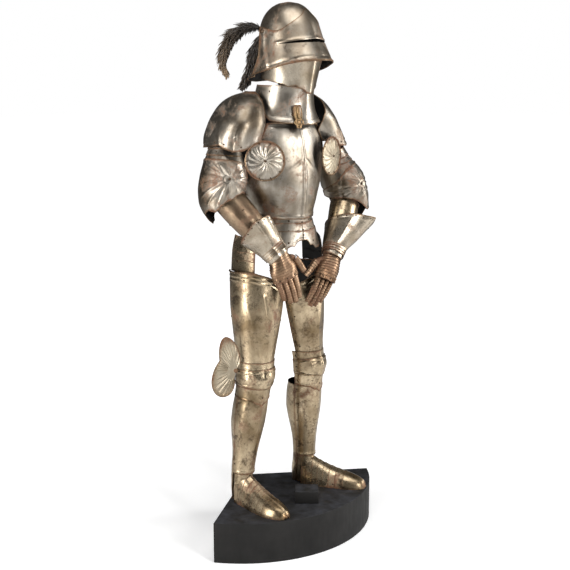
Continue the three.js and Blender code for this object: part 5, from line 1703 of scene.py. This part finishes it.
# %% Feathers
BARBS = 1750
QUILL_POINTS = 60
SWING = 1.15
DROOP = np.array([0, 0, -0.22])
BARB_LENGTH = {"back": 1.85, "right": 2.2, "left": 2.2}
TIP_TINT = {"back": 1.0, "right": 0.45, "left": 0.45}


def draw_barb(chance, quill, tangent, across_way):
    """Share along the quill, place and direction of one barb, by chance."""
    s = chance.uniform(0.02, 1.0)
    k = s * (QUILL_POINTS - 1)
    i = min(QUILL_POINTS - 2, int(k))
    spot = quill[i] * (1 - (k - i)) + quill[i + 1] * (k - i)
    out_side = across_way * chance.choice([-1, 1])
    upward = np.cross(tangent[i], out_side)
    swing = chance.uniform(-SWING, SWING)
    way = math.cos(swing) * out_side + math.sin(swing) * upward
    return s, spot, unit(0.62 * way + (0.45 + 0.5 * s) * tangent[i] + DROOP)


barb_part = bpy.data.objects.new("barb_part", leaf_mesh())
feather_tree = scatter_tree("feather barbs", MATERIALS["dark_feather"])
chance = np.random.default_rng(11)
share = np.linspace(0, 1, QUILL_POINTS)
for name, (out_way, width, path) in FEATHERS.items():
    along_way, across_way = np.array([*out_way, 0.0]), np.array([-out_way[1], out_way[0], 0.0])
    corners = [np.array(PLUME_BASE) + along_way * reach + np.array([0, 0, rise]) for reach, rise in path]
    quill = smooth_path(corners, QUILL_POINTS)
    tangent = unit(np.gradient(quill, axis=0))
    radius = 4 + (width - 4) * np.sin(math.pi * (0.06 + 0.84 * share))
    barbs = [draw_barb(chance, quill, tangent, across_way) for _ in range(BARBS)]
    sizes = [float(np.interp(s, share, radius)) * BARB_LENGTH[name] * MM for s, _, _ in barbs]
    fluff = scatter(f"plume_{name}_barbs", feather_tree, {"part": barb_part, "jitter": 0.5, "seed": 7},
                    [to_world([spot], FIGURE)[0] * MM for _, spot, _ in barbs],
                    {"turn": [turn_towards(way) for *_, way in barbs], "size": sizes,
                     "tip": [TIP_TINT[name] * s for s, _, _ in barbs]})
    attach(fluff, "suit")
    stem = rod(to_world(quill, FIGURE), np.interp(share, [0, 1], [2.6, 0.8]), 7)
    finish_piece(f"plume_{name}_quill", [stem], "dark_feather", [f"plume_{name}"])
print("plume", sum(n for key, n in made.items() if "barbs" in key), "triangles")

# %% Plume socket
TUBE = [(-14, 4), (-12, 9.2), (-4, 8.6), (8, 7.6), (20, 7.2), (28, 8.0), (30, 5.2)]
BEAD = [(24, 7.6), (26, 8.8), (28, 7.6)]
tube, bead = [rod(to_world([np.array(PLUME_BASE) + np.array([0, y, 0]) for y, _ in profile], FIGURE),
                  [radius for _, radius in profile], 24) for profile in (TUBE, BEAD)]
finish_piece("plume_tube", [tube, bead], "old_brass", ["plume_socket"])
print("socket", made["plume_tube"], "triangles")

# %% [markdown]
# ## Rivets
# Rivets hold the lames to their leathers and the rolls to their linings. Every piece above noted where its
# rivets go, and one tree sets a domed head on each place. The heads are plain closed meshes afterwards.

# %% Rivets


def dome_mesh(turns=8):
    """A low domed head of radius 1 with a short shank, closed below."""
    mesh = bpy.data.meshes.new("rivet_head")
    profile = [(1.0, -0.5), (1.0, 0.05), (0.86, 0.36), (0.55, 0.6)]
    angles = np.linspace(0, 2 * math.pi, turns, endpoint=False)
    points = [(r * math.cos(t), r * math.sin(t), z) for r, z in profile for t in angles]
    size = len(points)
    points += [(0, 0, -0.5), (0, 0, 0.68)]
    faces = ring_quads(len(profile), turns) + [face[::-1] for face in fan(size, list(range(turns)))]
    faces += fan(size + 1, list(range(size - turns, size)))
    mesh.from_pydata(points, [], outward(points, faces))
    return mesh


rivet_part = bpy.data.objects.new("rivet_part", dome_mesh())
rivet_tree = scatter_tree("rivet heads", MATERIALS["dark_iron"])
HEAD_SCALE = 1.3
for body, notes in RIVETS.items():
    heads = scatter(f"rivets_{body}", rivet_tree, {"part": rivet_part, "jitter": 0.05, "seed": 3},
                    [np.asarray(where) * MM for where, _, _ in notes],
                    {"turn": [turn_towards(facing) for _, facing, _ in notes],
                     "size": [size * HEAD_SCALE * MM for *_, size in notes]})
    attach(heads, body)
for part in (barb_part, rivet_part):
    bpy.data.objects.remove(part)
print("rivets", {body: len(notes) for body, notes in RIVETS.items()})
# %% [markdown]
# ## Finish
# The scene is brought up to date, and the triangles of all the pieces are counted.

# %% Finish
bpy.context.view_layer.update()
print("triangles:", sum(made.values()), "in", len(made), "pieces")
